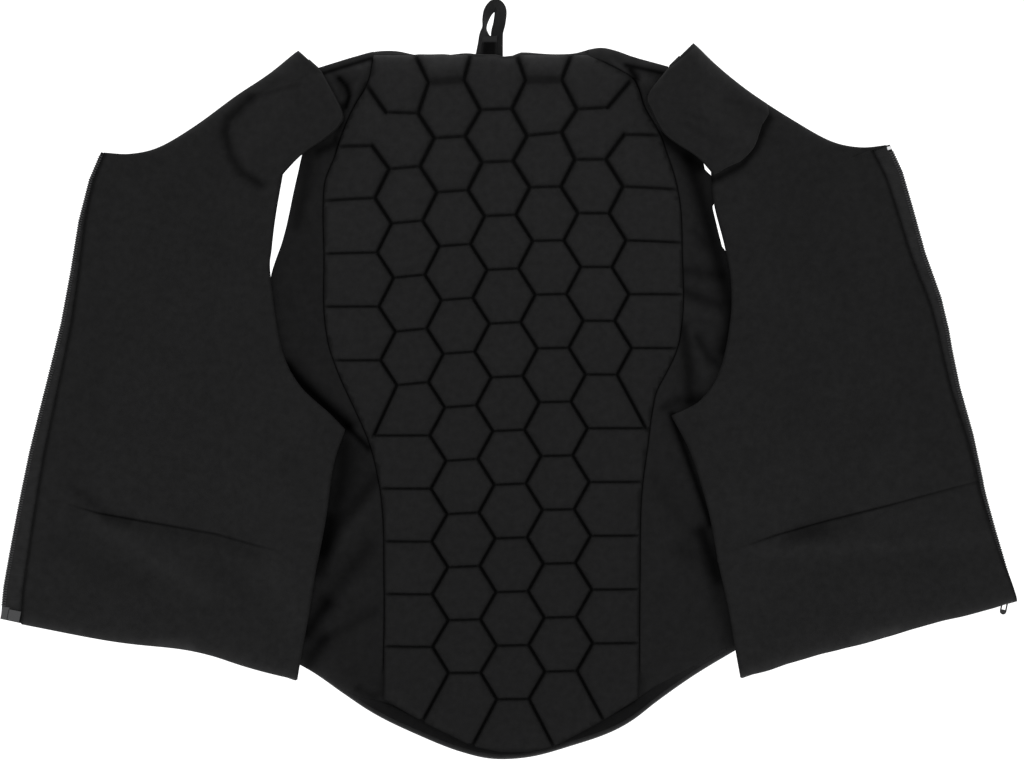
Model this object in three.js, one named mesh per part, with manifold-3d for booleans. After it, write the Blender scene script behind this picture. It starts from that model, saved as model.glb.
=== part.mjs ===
// A zip-front riding vest with a honeycomb back pad, unzipped and laid open on its outer face.
// Millimetres, +Z up, +Y toward the collar. The lining faces up.

import * as THREE from 'three';
import { mergeVertices } from 'three/addons/utils/BufferGeometryUtils.js';
import Module from 'manifold-3d';

const wasm = await Module();
wasm.setup();

// Driving dimensions
const CLOTH = 2.4;                  // outer cloth and lining together
const GAP = 0.3;                    // clearance between neighbouring pieces
const PAD_THICKNESS = 12;
const PAD_RIM = 2.5;                // thickness of the pad at its sewn rim
const PAD_RIM_WIDTH = 12;           // how far in from the rim the pad reaches its full thickness
const CELL_SIDE = 26.4;             // side of a honeycomb cell
const CELL_PITCH = 45.55;           // from one cell to the next along the back
const TOP_CELL_Y = 252;             // centre of the middle column's first cell
const CHANNEL_WIDTH = 3.2;          // sewn channel between cells
const CHANNEL_DEPTH = 6;
const TAPE_THICKNESS = 1.2;
const TAPE_UNDERLAP = 8;            // tape sewn in under the front panel
const TEETH = { outside: 1.5, inside: 2.2, height: 2 };
const HEM_BAND = { left: -160, right: 158, width: 15, least: 1.5, thickness: 1.8, inset: 1.5, steps: 22 };
const SHOULDER_PAD = { height: 5, rim: 1, edge: 6.5, columns: [0, 0.1, 0.5, 0.9, 1] };
const PLEAT_SLOPE = 35;             // run over which a front comes down from its pleat to the floor
const PLEAT_MARGIN = 9;             // the upper layer stays level this far past the flange
const TAPE_SLOPE = { start: 10, run: 12 };      // where a front comes down off its zip tape
const EDGE_CALM = 25;               // folds fade out this close to a front's edges
const FRONT_CREASE = { y: 100, step: 1.6, run: 6, fade: 60 };
const ZIP_STEPS = 18;
const ZIP_CROWDING = 1.5;           // how much closer the steps are near the hem
const SLIDER_LIFT = 5;              // height of the right tape where the slider holds it
const SLIDER_FALL = { start: 16, run: 60, lag: 15, reach: 14 };

const BLACK_CLOTH = { color: 0x1c1c1d, roughness: 0.92, metalness: 0 };
const BLACK_LINING = { color: 0x191919, roughness: 0.95, metalness: 0 };
const BLACK_WEBBING = { color: 0x151515, roughness: 0.8, metalness: 0 };
const BLACK_PLASTIC = { color: 0x121212, roughness: 0.35, metalness: 0 };
const DARK_METAL = { color: 0x3a3a3c, roughness: 0.35, metalness: 0.9 };
const BRIGHT_METAL = { color: 0xb9b9bb, roughness: 0.25, metalness: 1 };

// Where each front panel's zip lies: the bottom end of its teeth, and how far it leans inward.
const LEFT_PLACE = { x: -429.7, y: -197.6, lean: -12.1, mirror: 1 };
const RIGHT_PLACE = { x: 429.7, y: -185.7, lean: 15.4, mirror: -1 };

// The front panels, section by section from hem to shoulder tip, in a frame whose Y runs up the zip and
// whose X runs across to the side. Each panel's section goes from its zip or neck point to its side,
// armhole or shoulder point, where the cloth turns under by a flange.
const FRONT_ROWS = [
  { left: [[0, -8.5], [257, -5]], right: [[2, -4.3], [240, -4.3]], flange: 36, turn: 1.8 },
  { left: [[-3, 20], [256, 18]], right: [[1.5, 20], [239, 18]], flange: 36, turn: 1.8 },
  { left: [[-4, 55], [255, 52]], right: [[2, 55], [237, 52]], flange: 37, turn: 1.8 },
  { left: [[-5, 90], [253, 90]], right: [[2, 90], [235, 90]], flange: 38, turn: 1.8 },
  { left: [[-5, 97], [253, 97]], right: [[1.5, 97], [235, 97]], flange: 39, turn: 1.8 },
  { left: [[-5, 103], [253, 103]], right: [[1, 103], [235, 103]], flange: 39, turn: 1.8 },
  { left: [[-5, 150], [252, 137]], right: [[-1.5, 150], [234, 142]], flange: 42, turn: 1.8 },
  { left: [[-3, 205], [249, 180]], right: [[-2.5, 205], [236, 190]], flange: 47, turn: 1.8 },
  { left: [[-1.5, 255], [251, 211]], right: [[-5, 255], [240, 226]], flange: 52, turn: 1.8 },
  { left: [[-2.5, 285], [228, 228]], right: [[-3.5, 285], [213, 232]], flange: 42, turn: 1.8 },
  { left: [[-4, 312], [208, 235]], right: [[-3.5, 312], [190, 252]], flange: 26, turn: 1.8 },
  { left: [[-5, 342], [184, 270]], right: [[-3, 342], [170, 291]], flange: 17, turn: 1.8 },
  { left: [[-4.5, 366], [162.5, 327]], right: [[-2.5, 366], [160.5, 324]], flange: 10, turn: 1.8 },
  { left: [[-1.5, 386], [158.8, 350]], right: [[-1, 386], [158, 354]], flange: 10, turn: 1.8 },
  { left: [[0, 399], [156.3, 378]], right: [[0, 399], [157.3, 389]], flange: 12, turn: 2.2 },
  { left: [[24, 403], [155, 413]], right: [[24, 403.5], [154, 416]], flange: 18, turn: 3 },
  { left: [[47, 414], [167, 432]], right: [[47, 415.5], [167, 431]], flange: 24, turn: 4 },
  { left: [[73, 438], [184, 450]], right: [[73, 441], [180, 452]], flange: 26, turn: 4.5 },
  { left: [[101, 469.5], [194, 464]], right: [[101, 472.5], [188, 481]], flange: 26, turn: 4.5 },
  { left: [[122, 491], [193, 476]], right: [[122, 501], [187, 494]], flange: 24, turn: 4.5 },
  { left: [[146, 518], [169, 505]], right: [[138, 526], [165, 511]], flange: 10, turn: 4.5 },
];
const NECK_CORNER_ROW = 14;

// Width of zip tape that shows beside the lining at each height: the lining's edge wanders across it.
const TAPE_SHOWING = {
  left: [{ y: 0, width: 17 }, { y: 399, width: 2.5 }],
  right: [{ y: 0, width: -3.5 }, { y: 40, width: 1.5 }, { y: 399, width: 15 }],
};

// The left hem lifts in one soft wave.
const HEM_WAVE = { side: 'left', x: 165, width: 48, rise: 6, fade: 45 };

// Soft folds of the fronts in the same frame: a line, how high it stands and how wide it is.
const FRONT_FOLDS = {
  left: [
    { from: [60, 92], to: [190, 20], height: 2.2, width: 16 },
    { from: [120, 95], to: [235, 45], height: 1.8, width: 14 },
  ],
  right: [
    { from: [40, 330], to: [75, 250], height: 1.8, width: 14 },
    { from: [110, 92], to: [205, 60], height: 1.8, width: 14 },
  ],
};

// A shoulder pad's sections on its front panel: a place along FRONT_ROWS and the distance from the neck.
const SHOULDER_PAD_ROWS = [
  { row: 15.05, start: 108 },
  { row: 15.3, start: 86 },
  { row: 16, start: 61 },
  { row: 17, start: 30 },
  { row: 18, start: 12 },
  { row: 19, start: 9 },
  { row: 19.5, start: 11 },
];

// The back's cloth: its width at each height, from the shoulders to the hem's corners.
const SHELL_ROWS = [
  { y: -244, left: -212, right: 204 },
  { y: -226, left: -210, right: 202 },
  { y: -208, left: -208, right: 200 },
  { y: -180, left: -206, right: 198 },
  { y: -140, left: -201, right: 194 },
  { y: -100, left: -197, right: 190 },
  { y: -70, left: -193, right: 187 },
  { y: -44, left: -190, right: 184 },
  { y: -10, left: -194, right: 187 },
  { y: 25, left: -199, right: 190 },
  { y: 60, left: -203, right: 191 },
  { y: 88, left: -202, right: 186 },
  { y: 122, left: -191, right: 178.5 },
  { y: 150, left: -184.7, right: 172.5 },
  { y: 189, left: -176, right: 165 },
  { y: 225, left: -166, right: 152 },
  { y: 252, left: -160, right: 142 },
  { y: 277, left: -158, right: 136 },
];
const WING_COLUMNS = 6;             // grid columns between the pad's rim and a front panel
const HEM_BEND_Y = -100;            // below this height the sections bend down to the hem's curve
const HEM_CORNER_Y = -244;
const COLLAR_BEND_Y = 225;          // above this height they bend up to the collar's curve
const COLLAR_Y = 277;
const SHELL_BEND = 1.5;             // how the bend gathers toward the hem and the collar

const HEM_CURVE = [
  { x: -212, y: -227 },
  { x: -165, y: -250.5 },
  { x: -140, y: -267.5 },
  { x: -120, y: -280.5 },
  { x: -77, y: -303 },
  { x: -40, y: -317 },
  { x: -18, y: -322 },
  { x: 14, y: -321.5 },
  { x: 50, y: -313 },
  { x: 107, y: -290.5 },
  { x: 125, y: -274.5 },
  { x: 153, y: -255 },
  { x: 204, y: -225 },
];

// The collar edge: a low neck between the two shoulder straps.
const COLLAR_CURVE = [
  { x: -158, y: 265 },
  { x: -131, y: 273.5 },
  { x: -111, y: 278.5 },
  { x: -94, y: 278.5 },
  { x: -78, y: 275 },
  { x: 50, y: 275.5 },
  { x: 67, y: 278.5 },
  { x: 79, y: 280 },
  { x: 91, y: 278.5 },
  { x: 103, y: 273.5 },
  { x: 136, y: 264.5 },
];

// Where the side cloth's folds begin beside the pad, a front and the hem band, and over what run.
const FOLD_FADE = {
  pad: { start: 2, run: 12 },
  front: { start: 9, run: 10 },
  hem: { start: 5, run: 12 },
};

// Folds of the side cloth between the pad and the fronts.
const SHELL_FOLDS = [
  { from: [-118, -66], to: [-165, -190], height: 7, width: 12 },
  { from: [-135, -190], to: [-180, -232], height: 4, width: 10 },
  { from: [-165, 60], to: [-190, 110], height: 4, width: 11 },
  { from: [150, 88], to: [180, 60], height: 4, width: 9 },
  { from: [148, 40], to: [178, 20], height: 4, width: 9 },
  { from: [122, -70], to: [160, -170], height: 5, width: 12 },
];

// The pad: the place of its middle line and its half width at each height.
const PAD_ROWS = [
  { y: -315, axis: 3, half: 14 },
  { y: -306, axis: 3, half: 40 },
  { y: -287, axis: 3, half: 73 },
  { y: -266, axis: 3, half: 107 },
  { y: -256, axis: 3, half: 109 },
  { y: -175, axis: 3, half: 108.5 },
  { y: -88, axis: 2, half: 112 },
  { y: -55, axis: 1, half: 119 },
  { y: -24, axis: 0, half: 131 },
  { y: 5, axis: -1, half: 143 },
  { y: 45, axis: -2, half: 149 },
  { y: 106, axis: -4.5, half: 152 },
  { y: 153, axis: -6, half: 151 },
  { y: 190, axis: -7, half: 140 },
  { y: 232, axis: -8, half: 122 },
  { y: 260, axis: -8.5, half: 112 },
  { y: 272, axis: -8.5, half: 110 },
];
const PAD_INSETS = [0, 4, PAD_RIM_WIDTH];
const PAD_BOTTOM_ROWS = 4;          // rows of the pad's rounded lower end
const PAD_SHARES = [0.5, 0, -0.5];  // grid columns inside the rim
const TIP_INSET = 0.6;              // most of a narrow row's half width that its rim takes

// The honeycomb leans a little with the upper back and sags toward the pad's sides.
const LATTICE = { topX: -10.6, lowX: 3.8, lowY: -67, lean: 0.042, lowLean: 0.012, sag: 0.0005 };

// The hanger: webbing that stands on edge on the left and lies flat on the right.
const WEBBING = { width: 10, thickness: 1.5, steps: 18 };
const HANGER_ROWS = [
  { x: -22.6, y: 289.4, z: 5.4, standing: 88 },
  { x: -22.2, y: 300, z: 5.4, standing: 84 },
  { x: -20, y: 310, z: 5.2, standing: 70 },
  { x: -15, y: 316, z: 4.6, standing: 45 },
  { x: -10.4, y: 311.5, z: 3.4, standing: 20 },
  { x: -8.8, y: 301, z: 2.4, standing: 4 },
  { x: -9.4, y: 289.4, z: 2.2, standing: 0 },
];
const KEEPER = { left: -24.5, right: -4, bottom: 275.9, top: 288.2, height: 4.2 };

// Zip ends, in the frame of their front panel.
const END_TAB = { x: [4.6, 14.8], y: [-7, 2.2], height: 2.6 };
const TAPE_END = { left: 2.5, right: 0.6 };
const TAPE_TOP = 394;
const TEETH_END = { left: -4, right: 0.5 };
const TEETH_TOP = { left: 398, right: 394.5 };
const TOP_STOP = { y: [394.8, 397.6], height: 2.8 };
const ZIP_BOX = { x: [-1.4, 7], y: [-4.2, 0.2], z: [4.4, 7.6] };
const SLIDER = { y: [0.8, 12.4], back: -1.4, open: 9, wall: 1.2, tunnel: [4.7, 7.3] };
const BRIDGE = { x: 3.6, y: 6.6, turn: 26, reach: 3.5, opening: 2.3, width: 2, bar: 0.8, drop: 2.4 };
const PULL = { length: 21, width: 5.6, thickness: 1.2, eye: [0.6, 4.8], ring: [12, 16.8], rail: 1.2 };
const PULL_FLOOR_GAP = 0.06;

const smooth = (t) => {
  const clamped = Math.min(1, Math.max(0, t));
  return clamped * clamped * (3 - 2 * clamped);
};

const mix = (a, b, t) => a + (b - a) * t;

// Reads a table at any place of its key column, straight between its rows.
function readTable(rows, key, column, at) {
  const rising = rows[rows.length - 1][key] > rows[0][key];
  const ordered = rising ? rows : [...rows].reverse();
  if (at <= ordered[0][key]) return ordered[0][column];
  for (let i = 1; i < ordered.length; i += 1) {
    const low = ordered[i - 1];
    const high = ordered[i];
    if (at <= high[key]) return mix(low[column], high[column], (at - low[key]) / (high[key] - low[key]));
  }
  return ordered[ordered.length - 1][column];
}

// How high a fold table stands at a point: each fold is a soft ridge along its line.
function foldHeight(folds, x, y) {
  let height = 0;
  for (const fold of folds) {
    const dx = fold.to[0] - fold.from[0];
    const dy = fold.to[1] - fold.from[1];
    const along = ((x - fold.from[0]) * dx + (y - fold.from[1]) * dy) / (dx * dx + dy * dy);
    const nearest = Math.min(1, Math.max(0, along));
    const off = Math.hypot(x - fold.from[0] - nearest * dx, y - fold.from[1] - nearest * dy);
    height += fold.height * Math.exp(-((off / fold.width) ** 2));
  }
  return height;
}

// A closed body between two grids of points, faces out.
function gridSolid(top, bottom) {
  const rowCount = top.length;
  const columnCount = top[0].length;
  const positions = [...top.flat(), ...bottom.flat()].flatMap((p) => [p.x, p.y, p.z]);
  const upper = (j, i) => j * columnCount + i;
  const lower = (j, i) => rowCount * columnCount + upper(j, i);
  const index = [];
  const quad = (a, b, c, d) => index.push(a, b, c, a, c, d);
  for (let j = 0; j + 1 < rowCount; j += 1) {
    for (let i = 0; i + 1 < columnCount; i += 1) {
      quad(upper(j, i), upper(j, i + 1), upper(j + 1, i + 1), upper(j + 1, i));
      quad(lower(j, i), lower(j + 1, i), lower(j + 1, i + 1), lower(j, i + 1));
    }
    const last = columnCount - 1;
    quad(upper(j, 0), upper(j + 1, 0), lower(j + 1, 0), lower(j, 0));
    quad(upper(j, last), lower(j, last), lower(j + 1, last), upper(j + 1, last));
  }
  for (let i = 0; i + 1 < columnCount; i += 1) {
    const last = rowCount - 1;
    quad(upper(0, i), lower(0, i), lower(0, i + 1), upper(0, i + 1));
    quad(upper(last, i), upper(last, i + 1), lower(last, i + 1), lower(last, i));
  }
  const geometry = new THREE.BufferGeometry();
  geometry.setAttribute('position', new THREE.Float32BufferAttribute(positions, 3));
  geometry.setIndex(index);
  return facingOut(geometry);
}

function facingOut(geometry) {
  const place = geometry.getAttribute('position');
  const index = geometry.getIndex().array;
  const corner = (k) => new THREE.Vector3().fromBufferAttribute(place, index[k]);
  let volume = 0;
  for (let k = 0; k < index.length; k += 3) {
    volume += corner(k).dot(corner(k + 1).cross(corner(k + 2)));
  }
  if (volume < 0) index.reverse();
  geometry.computeVertexNormals();
  return geometry;
}

// Moves a grid of points off its own surface by a distance.
function offsetGrid(grid, distance) {
  const at = (j, i) => {
    const row = Math.min(grid.length - 1, Math.max(0, j));
    const column = Math.min(grid[0].length - 1, Math.max(0, i));
    return grid[row][column];
  };
  return grid.map((row, j) => row.map((point, i) => {
    const across = new THREE.Vector3().subVectors(at(j, i + 1), at(j, i - 1));
    const along = new THREE.Vector3().subVectors(at(j + 1, i), at(j - 1, i));
    const normal = across.cross(along).normalize();
    return point.clone().addScaledVector(normal, distance);
  }));
}

const raised = (grid, height) => grid.map((row) => row.map((p) => p.clone().setZ(p.z + height)));

function piece(name, geometry, look) {
  const mesh = new THREE.Mesh(geometry, new THREE.MeshStandardMaterial(look));
  mesh.name = name;
  return mesh;
}

// Booleans on closed meshes.
function toSolid(geometry) {
  const bare = new THREE.BufferGeometry();
  bare.setAttribute('position', geometry.getAttribute('position').clone());
  if (geometry.getIndex()) bare.setIndex(geometry.getIndex().clone());
  const merged = mergeVertices(bare, 1e-4);
  return new wasm.Manifold(new wasm.Mesh({
    numProp: 3,
    vertProperties: new Float32Array(merged.getAttribute('position').array),
    triVerts: new Uint32Array(merged.getIndex().array),
  }));
}

function toGeometry(solid) {
  const mesh = solid.getMesh();
  const geometry = new THREE.BufferGeometry();
  geometry.setAttribute('position', new THREE.Float32BufferAttribute(mesh.vertProperties, 3));
  geometry.setIndex(new THREE.Uint32BufferAttribute(mesh.triVerts, 1));
  geometry.computeVertexNormals();
  return geometry;
}

function block(x, y, z) {
  const geometry = new THREE.BoxGeometry(x[1] - x[0], y[1] - y[0], z[1] - z[0]);
  return geometry.translate((x[0] + x[1]) / 2, (y[0] + y[1]) / 2, (z[0] + z[1]) / 2);
}

// One section of a front panel at any place along FRONT_ROWS.
function frontSection(side, row) {
  const low = Math.min(FRONT_ROWS.length - 2, Math.floor(row));
  const t = row - low;
  const a = FRONT_ROWS[low];
  const b = FRONT_ROWS[low + 1];
  const [outer, inner] = [0, 1].map((end) => [
    mix(a[side][end][0], b[side][end][0], t),
    mix(a[side][end][1], b[side][end][1], t),
  ]);
  const length = Math.hypot(inner[0] - outer[0], inner[1] - outer[1]);
  const direction = [(inner[0] - outer[0]) / length, (inner[1] - outer[1]) / length];
  const turn = mix(a.turn, b.turn, t);
  const flange = mix(a.flange, b.flange, t);
  const turnStart = length - turn - CLOTH / 2;
  const onZip = row <= NECK_CORNER_ROW;
  const start = onZip ? tapeShowing(side, outer[1]) : 0;
  return { outer, direction, length, turn, flange, turnStart, start, onZip };
}

const tapeShowing = (side, y) => readTable(TAPE_SHOWING[side], 'y', 'width', y);

// Height of the right zip's end, which the slider holds off the floor.
const zipLift = (side, y) => (
  side === 'right' ? SLIDER_LIFT * (1 - smooth((y - SLIDER_FALL.start) / SLIDER_FALL.run)) : 0
);

// Middle of the cloth in a front's upper layer, at a distance along a section.
function frontPoint(side, section, distance) {
  const x = section.outer[0] + section.direction[0] * distance;
  const y = section.outer[1] + section.direction[1] * distance;
  const flangeZ = CLOTH + GAP + CLOTH / 2;
  const pleatZ = flangeZ + 2 * section.turn;
  const pleatEnd = section.turnStart - section.flange - PLEAT_MARGIN;
  const pleat = smooth((distance - pleatEnd + PLEAT_SLOPE) / PLEAT_SLOPE);
  const pastTape = smooth((distance - section.start - TAPE_SLOPE.start) / TAPE_SLOPE.run);
  const overTape = section.onZip ? 1 - pastTape : 0;
  const pastSlider = smooth((distance - SLIDER_FALL.reach) / SLIDER_FALL.run);
  const slider = zipLift(side, y - SLIDER_FALL.lag) * (1 - pastSlider);
  const sliderTop = (SLIDER.tunnel[1] + SLIDER.wall + GAP) / SLIDER_LIFT;
  const tapeTop = (TAPE_THICKNESS + GAP) * overTape;
  const flat = CLOTH / 2 + Math.max(tapeTop, slider * sliderTop);
  const level = mix(flat, Math.max(flat, pleatZ), pleat);
  const fromZip = smooth((distance - section.start) / EDGE_CALM);
  const inside = fromZip * smooth((section.turnStart - distance) / EDGE_CALM);
  const crease = creaseHeight(y) * inside;
  const folds = foldHeight(FRONT_FOLDS[side], x, y) * inside;
  return new THREE.Vector3(x, y + hemWave(side, x, y), level + crease + folds);
}

function hemWave(side, x, y) {
  if (side !== HEM_WAVE.side) return 0;
  const fade = 1 - smooth((y - FRONT_ROWS[0][side][0][1]) / HEM_WAVE.fade);
  return HEM_WAVE.rise * fade * Math.exp(-(((x - HEM_WAVE.x) / HEM_WAVE.width) ** 2));
}

// A step across the front: the cloth above the crease stands a little higher and fades back.
function creaseHeight(y) {
  const above = y - FRONT_CREASE.y;
  const rise = smooth(above / FRONT_CREASE.run + 0.5);
  return FRONT_CREASE.step * rise * (1 - smooth(above / FRONT_CREASE.fade));
}

const FRONT_COLUMNS = 11;            // grid columns of a front's upper layer
const TURN_ANGLES = [60, 30, 0, -30, -60, -90];

// Where the columns of a front's grid lie along a section: the tape's edge, the flat and the pleat.
function frontDistances({ start, turnStart, flange }) {
  const pleatEnd = turnStart - flange - PLEAT_MARGIN;
  const slopeStart = pleatEnd - PLEAT_SLOPE;
  const flatStart = start + TAPE_SLOPE.start + TAPE_SLOPE.run;
  if (slopeStart < flatStart + TAPE_SLOPE.run) {
    return Array.from({ length: FRONT_COLUMNS }, (_, i) => mix(start, turnStart, i / (FRONT_COLUMNS - 1)));
  }
  const flat = [0.25, 0.5, 0.75, 1].map((share) => mix(flatStart, slopeStart, share));
  const slope = [mix(slopeStart, pleatEnd, 0.5), pleatEnd];
  const nearZip = [start, start + TAPE_SLOPE.start, flatStart];
  return [...nearZip, ...flat, ...slope, mix(pleatEnd, turnStart, 0.5), turnStart];
}

// Middle of a front's cloth as a grid, and how far along its section each upper column lies.
function frontGrid(side) {
  const columns = [];
  const middle = FRONT_ROWS.map((_, row) => {
    const section = frontSection(side, row);
    const distances = frontDistances(section);
    columns.push(distances);
    const points = distances.map((distance) => frontPoint(side, section, distance));
    const centreZ = points[points.length - 1].z - section.turn;
    const place = (along, z) => new THREE.Vector3(
      section.outer[0] + section.direction[0] * along,
      section.outer[1] + section.direction[1] * along,
      z,
    );
    for (const degrees of TURN_ANGLES) {
      const angle = THREE.MathUtils.degToRad(degrees);
      points.push(place(
        section.turnStart + section.turn * Math.cos(angle),
        centreZ + section.turn * Math.sin(angle),
      ));
    }
    points.push(place(section.turnStart - section.flange, centreZ - section.turn));
    return points;
  });
  return { columns, middle };
}

// A point on the grid of a front, at a place along FRONT_ROWS and a distance along the section there.
function onFront(grid, row, distance) {
  const low = Math.min(FRONT_ROWS.length - 2, Math.floor(row));
  const t = row - low;
  const places = grid.columns[low].map((near, i) => mix(near, grid.columns[low + 1][i], t));
  let i = 0;
  while (i + 2 < places.length && places[i + 1] < distance) i += 1;
  const share = (distance - places[i]) / (places[i + 1] - places[i]);
  const along = (j) => grid.middle[j][i].clone().lerp(grid.middle[j][i + 1], share);
  return along(low).lerp(along(low + 1), t);
}

const frontPanel = (grid) => gridSolid(
  offsetGrid(grid.middle, CLOTH / 2),
  offsetGrid(grid.middle, -CLOTH / 2),
);

// The pad on a shoulder end, cut below to the cloth that it lies on.
function shoulderPad(side, grid, panel) {
  const shares = SHOULDER_PAD.columns;
  const surface = SHOULDER_PAD_ROWS.map(({ row, start }) => {
    const section = frontSection(side, row);
    const end = section.length - SHOULDER_PAD.edge;
    const from = Math.min(start, end - SHOULDER_PAD.edge);
    return shares.map((share) => onFront(grid, row, mix(from, end, share)));
  });
  const lastRow = SHOULDER_PAD_ROWS.length - 1;
  const isRim = (j, i) => j === 0 || j === lastRow || i === 0 || i === shares.length - 1;
  const seat = offsetGrid(surface, CLOTH / 2 + GAP);
  const crown = raised(seat, 0).map((row, j) => row.map((p, i) => (
    p.setZ(p.z + (isRim(j, i) ? SHOULDER_PAD.rim : SHOULDER_PAD.height))
  )));
  const clearance = toSolid(panel).add(toSolid(panel.clone().translate(0, 0, GAP)));
  return toGeometry(toSolid(gridSolid(crown, seat)).subtract(clearance));
}

// The line of the zip's teeth, from the outer points of the sections.
function zipX(side, y) {
  const zip = FRONT_ROWS.slice(0, NECK_CORNER_ROW + 1);
  return readTable(zip.map((row) => ({ x: row[side][0][0], y: row[side][0][1] })), 'y', 'x', y);
}

// A strip along a zip, in steps that are closer together near the hem, where the slider bends it.
function zipStrip(side, from, to, edges, height) {
  const rows = [];
  for (let k = 0; k <= ZIP_STEPS; k += 1) {
    const y = mix(from, to, (k / ZIP_STEPS) ** ZIP_CROWDING);
    rows.push(edges(y).map((x) => new THREE.Vector3(zipX(side, y) + x, y, zipLift(side, y))));
  }
  return gridSolid(raised(rows, height), rows);
}

const zipTape = (side) => zipStrip(side, TAPE_END[side], TAPE_TOP, (y) => (
  [TEETH.inside + 2 * GAP, tapeShowing(side, y) + TAPE_UNDERLAP]
), TAPE_THICKNESS);

const zipTeeth = (side) => zipStrip(side, TEETH_END[side], TEETH_TOP[side], () => (
  [-TEETH.outside, TEETH.inside]
), TEETH.height);

// The slider is a channel round the teeth, with a bridge below it that holds the pull.
function zipSlider() {
  const { y, back, open, wall, tunnel } = SLIDER;
  const floorPlate = block([back, open], y, [tunnel[0] - wall, tunnel[0]]);
  const roofPlate = block([back, open], y, [tunnel[1], tunnel[1] + wall]);
  const post = block([back, back + wall], y, [tunnel[0] - wall, tunnel[1] + wall]);
  const plateZ = tunnel[0] - wall;
  const half = BRIDGE.width / 2;
  const barZ = plateZ - BRIDGE.drop - BRIDGE.bar;
  const bridgeParts = [
    block([-half, half], [-BRIDGE.reach, -BRIDGE.opening], [barZ, plateZ + wall / 2]),
    block([-half, half], [BRIDGE.opening, BRIDGE.reach], [barZ, plateZ + wall / 2]),
    block([-half, half], [-BRIDGE.reach, BRIDGE.reach], [barZ, barZ + BRIDGE.bar]),
  ];
  const turn = THREE.MathUtils.degToRad(BRIDGE.turn);
  for (const part of bridgeParts) part.rotateZ(turn).translate(BRIDGE.x, BRIDGE.y, 0);
  const all = [floorPlate, roofPlate, post, ...bridgeParts].map(toSolid);
  return toGeometry(all.reduce((joined, part) => joined.add(part)));
}

// The pull: a flat frame with an eye for the bridge and a ring at its end, lying down to the floor.
function zipPull() {
  const half = PULL.width / 2;
  const start = -PULL.thickness / 2;
  const outline = new THREE.Shape();
  outline.moveTo(-half, start);
  outline.lineTo(half, start);
  outline.lineTo(half, PULL.length - half);
  outline.absarc(0, PULL.length - half, half, 0, Math.PI, false);
  outline.lineTo(-half, start);
  const holeHalf = half - PULL.rail;
  for (const [low, high] of [PULL.eye, PULL.ring]) {
    const hole = new THREE.Path();
    hole.moveTo(-holeHalf, low);
    hole.lineTo(-holeHalf, high);
    hole.lineTo(holeHalf, high);
    hole.lineTo(holeHalf, low);
    hole.lineTo(-holeHalf, low);
    outline.holes.push(hole);
  }
  const plate = new THREE.ExtrudeGeometry(outline, {
    depth: PULL.thickness, bevelEnabled: false, curveSegments: 8,
  });
  plate.translate(0, 0, -PULL.thickness / 2);
  const axisZ = SLIDER.tunnel[0] - SLIDER.wall - BRIDGE.drop / 2;
  const droop = Math.asin((axisZ - PULL.thickness / 2 - PULL_FLOOR_GAP) / PULL.length);
  plate.rotateX(-droop);
  plate.rotateZ(Math.PI + THREE.MathUtils.degToRad(BRIDGE.turn));
  plate.translate(BRIDGE.x, BRIDGE.y, axisZ);
  return toGeometry(toSolid(plate));
}

// Front panel edge in the frame of the whole vest.
function frontEdge(side, place) {
  const lean = THREE.MathUtils.degToRad(place.lean);
  return FRONT_ROWS.slice(0, NECK_CORNER_ROW + 2).map((row) => {
    const x = row[side][1][0] * place.mirror;
    const y = row[side][1][1];
    return {
      x: place.x + x * Math.cos(lean) - y * Math.sin(lean),
      y: place.y + x * Math.sin(lean) + y * Math.cos(lean),
    };
  });
}
const LEFT_EDGE = frontEdge('left', LEFT_PLACE);
const RIGHT_EDGE = frontEdge('right', RIGHT_PLACE);

const fadeIn = (off, { start, run }) => smooth((off - start) / run);

// Folds show only between the pad's rim and the front panels' edges.
function sideMask(x, y) {
  const padOff = Math.abs(x - readTable(PAD_ROWS, 'y', 'axis', y)) - readTable(PAD_ROWS, 'y', 'half', y);
  const edge = x < 0 ? LEFT_EDGE : RIGHT_EDGE;
  const frontOff = Math.abs(readTable(edge, 'y', 'x', y)) - Math.abs(x);
  const hemOff = y - hemY(x) - HEM_BAND.width;
  return fadeIn(padOff, FOLD_FADE.pad) * fadeIn(frontOff, FOLD_FADE.front) * fadeIn(hemOff, FOLD_FADE.hem);
}

const hemY = (x) => readTable(HEM_CURVE, 'x', 'y', x);
const collarY = (x) => readTable(COLLAR_CURVE, 'x', 'y', x);

// Grid columns of one side of a section: its edge, where the front covers it, and on to the pad's rim.
function wingColumns(row, side) {
  const mirror = side === 'left' ? -1 : 1;
  const edge = row[side] * mirror;
  const axis = readTable(PAD_ROWS, 'y', 'axis', row.y) * mirror;
  const front = readTable(side === 'left' ? LEFT_EDGE : RIGHT_EDGE, 'y', 'x', row.y) * mirror;
  const covered = Math.min(edge - FOLD_FADE.pad.start, front - FOLD_FADE.front.start);
  const padRim = axis + readTable(PAD_ROWS, 'y', 'half', row.y);
  const rim = Math.min(covered, padRim) + FOLD_FADE.pad.start;
  const columns = [edge];
  for (let k = 0; k <= WING_COLUMNS; k += 1) columns.push(mix(covered, rim, k / WING_COLUMNS));
  return columns.map((x) => x * mirror);
}

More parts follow.
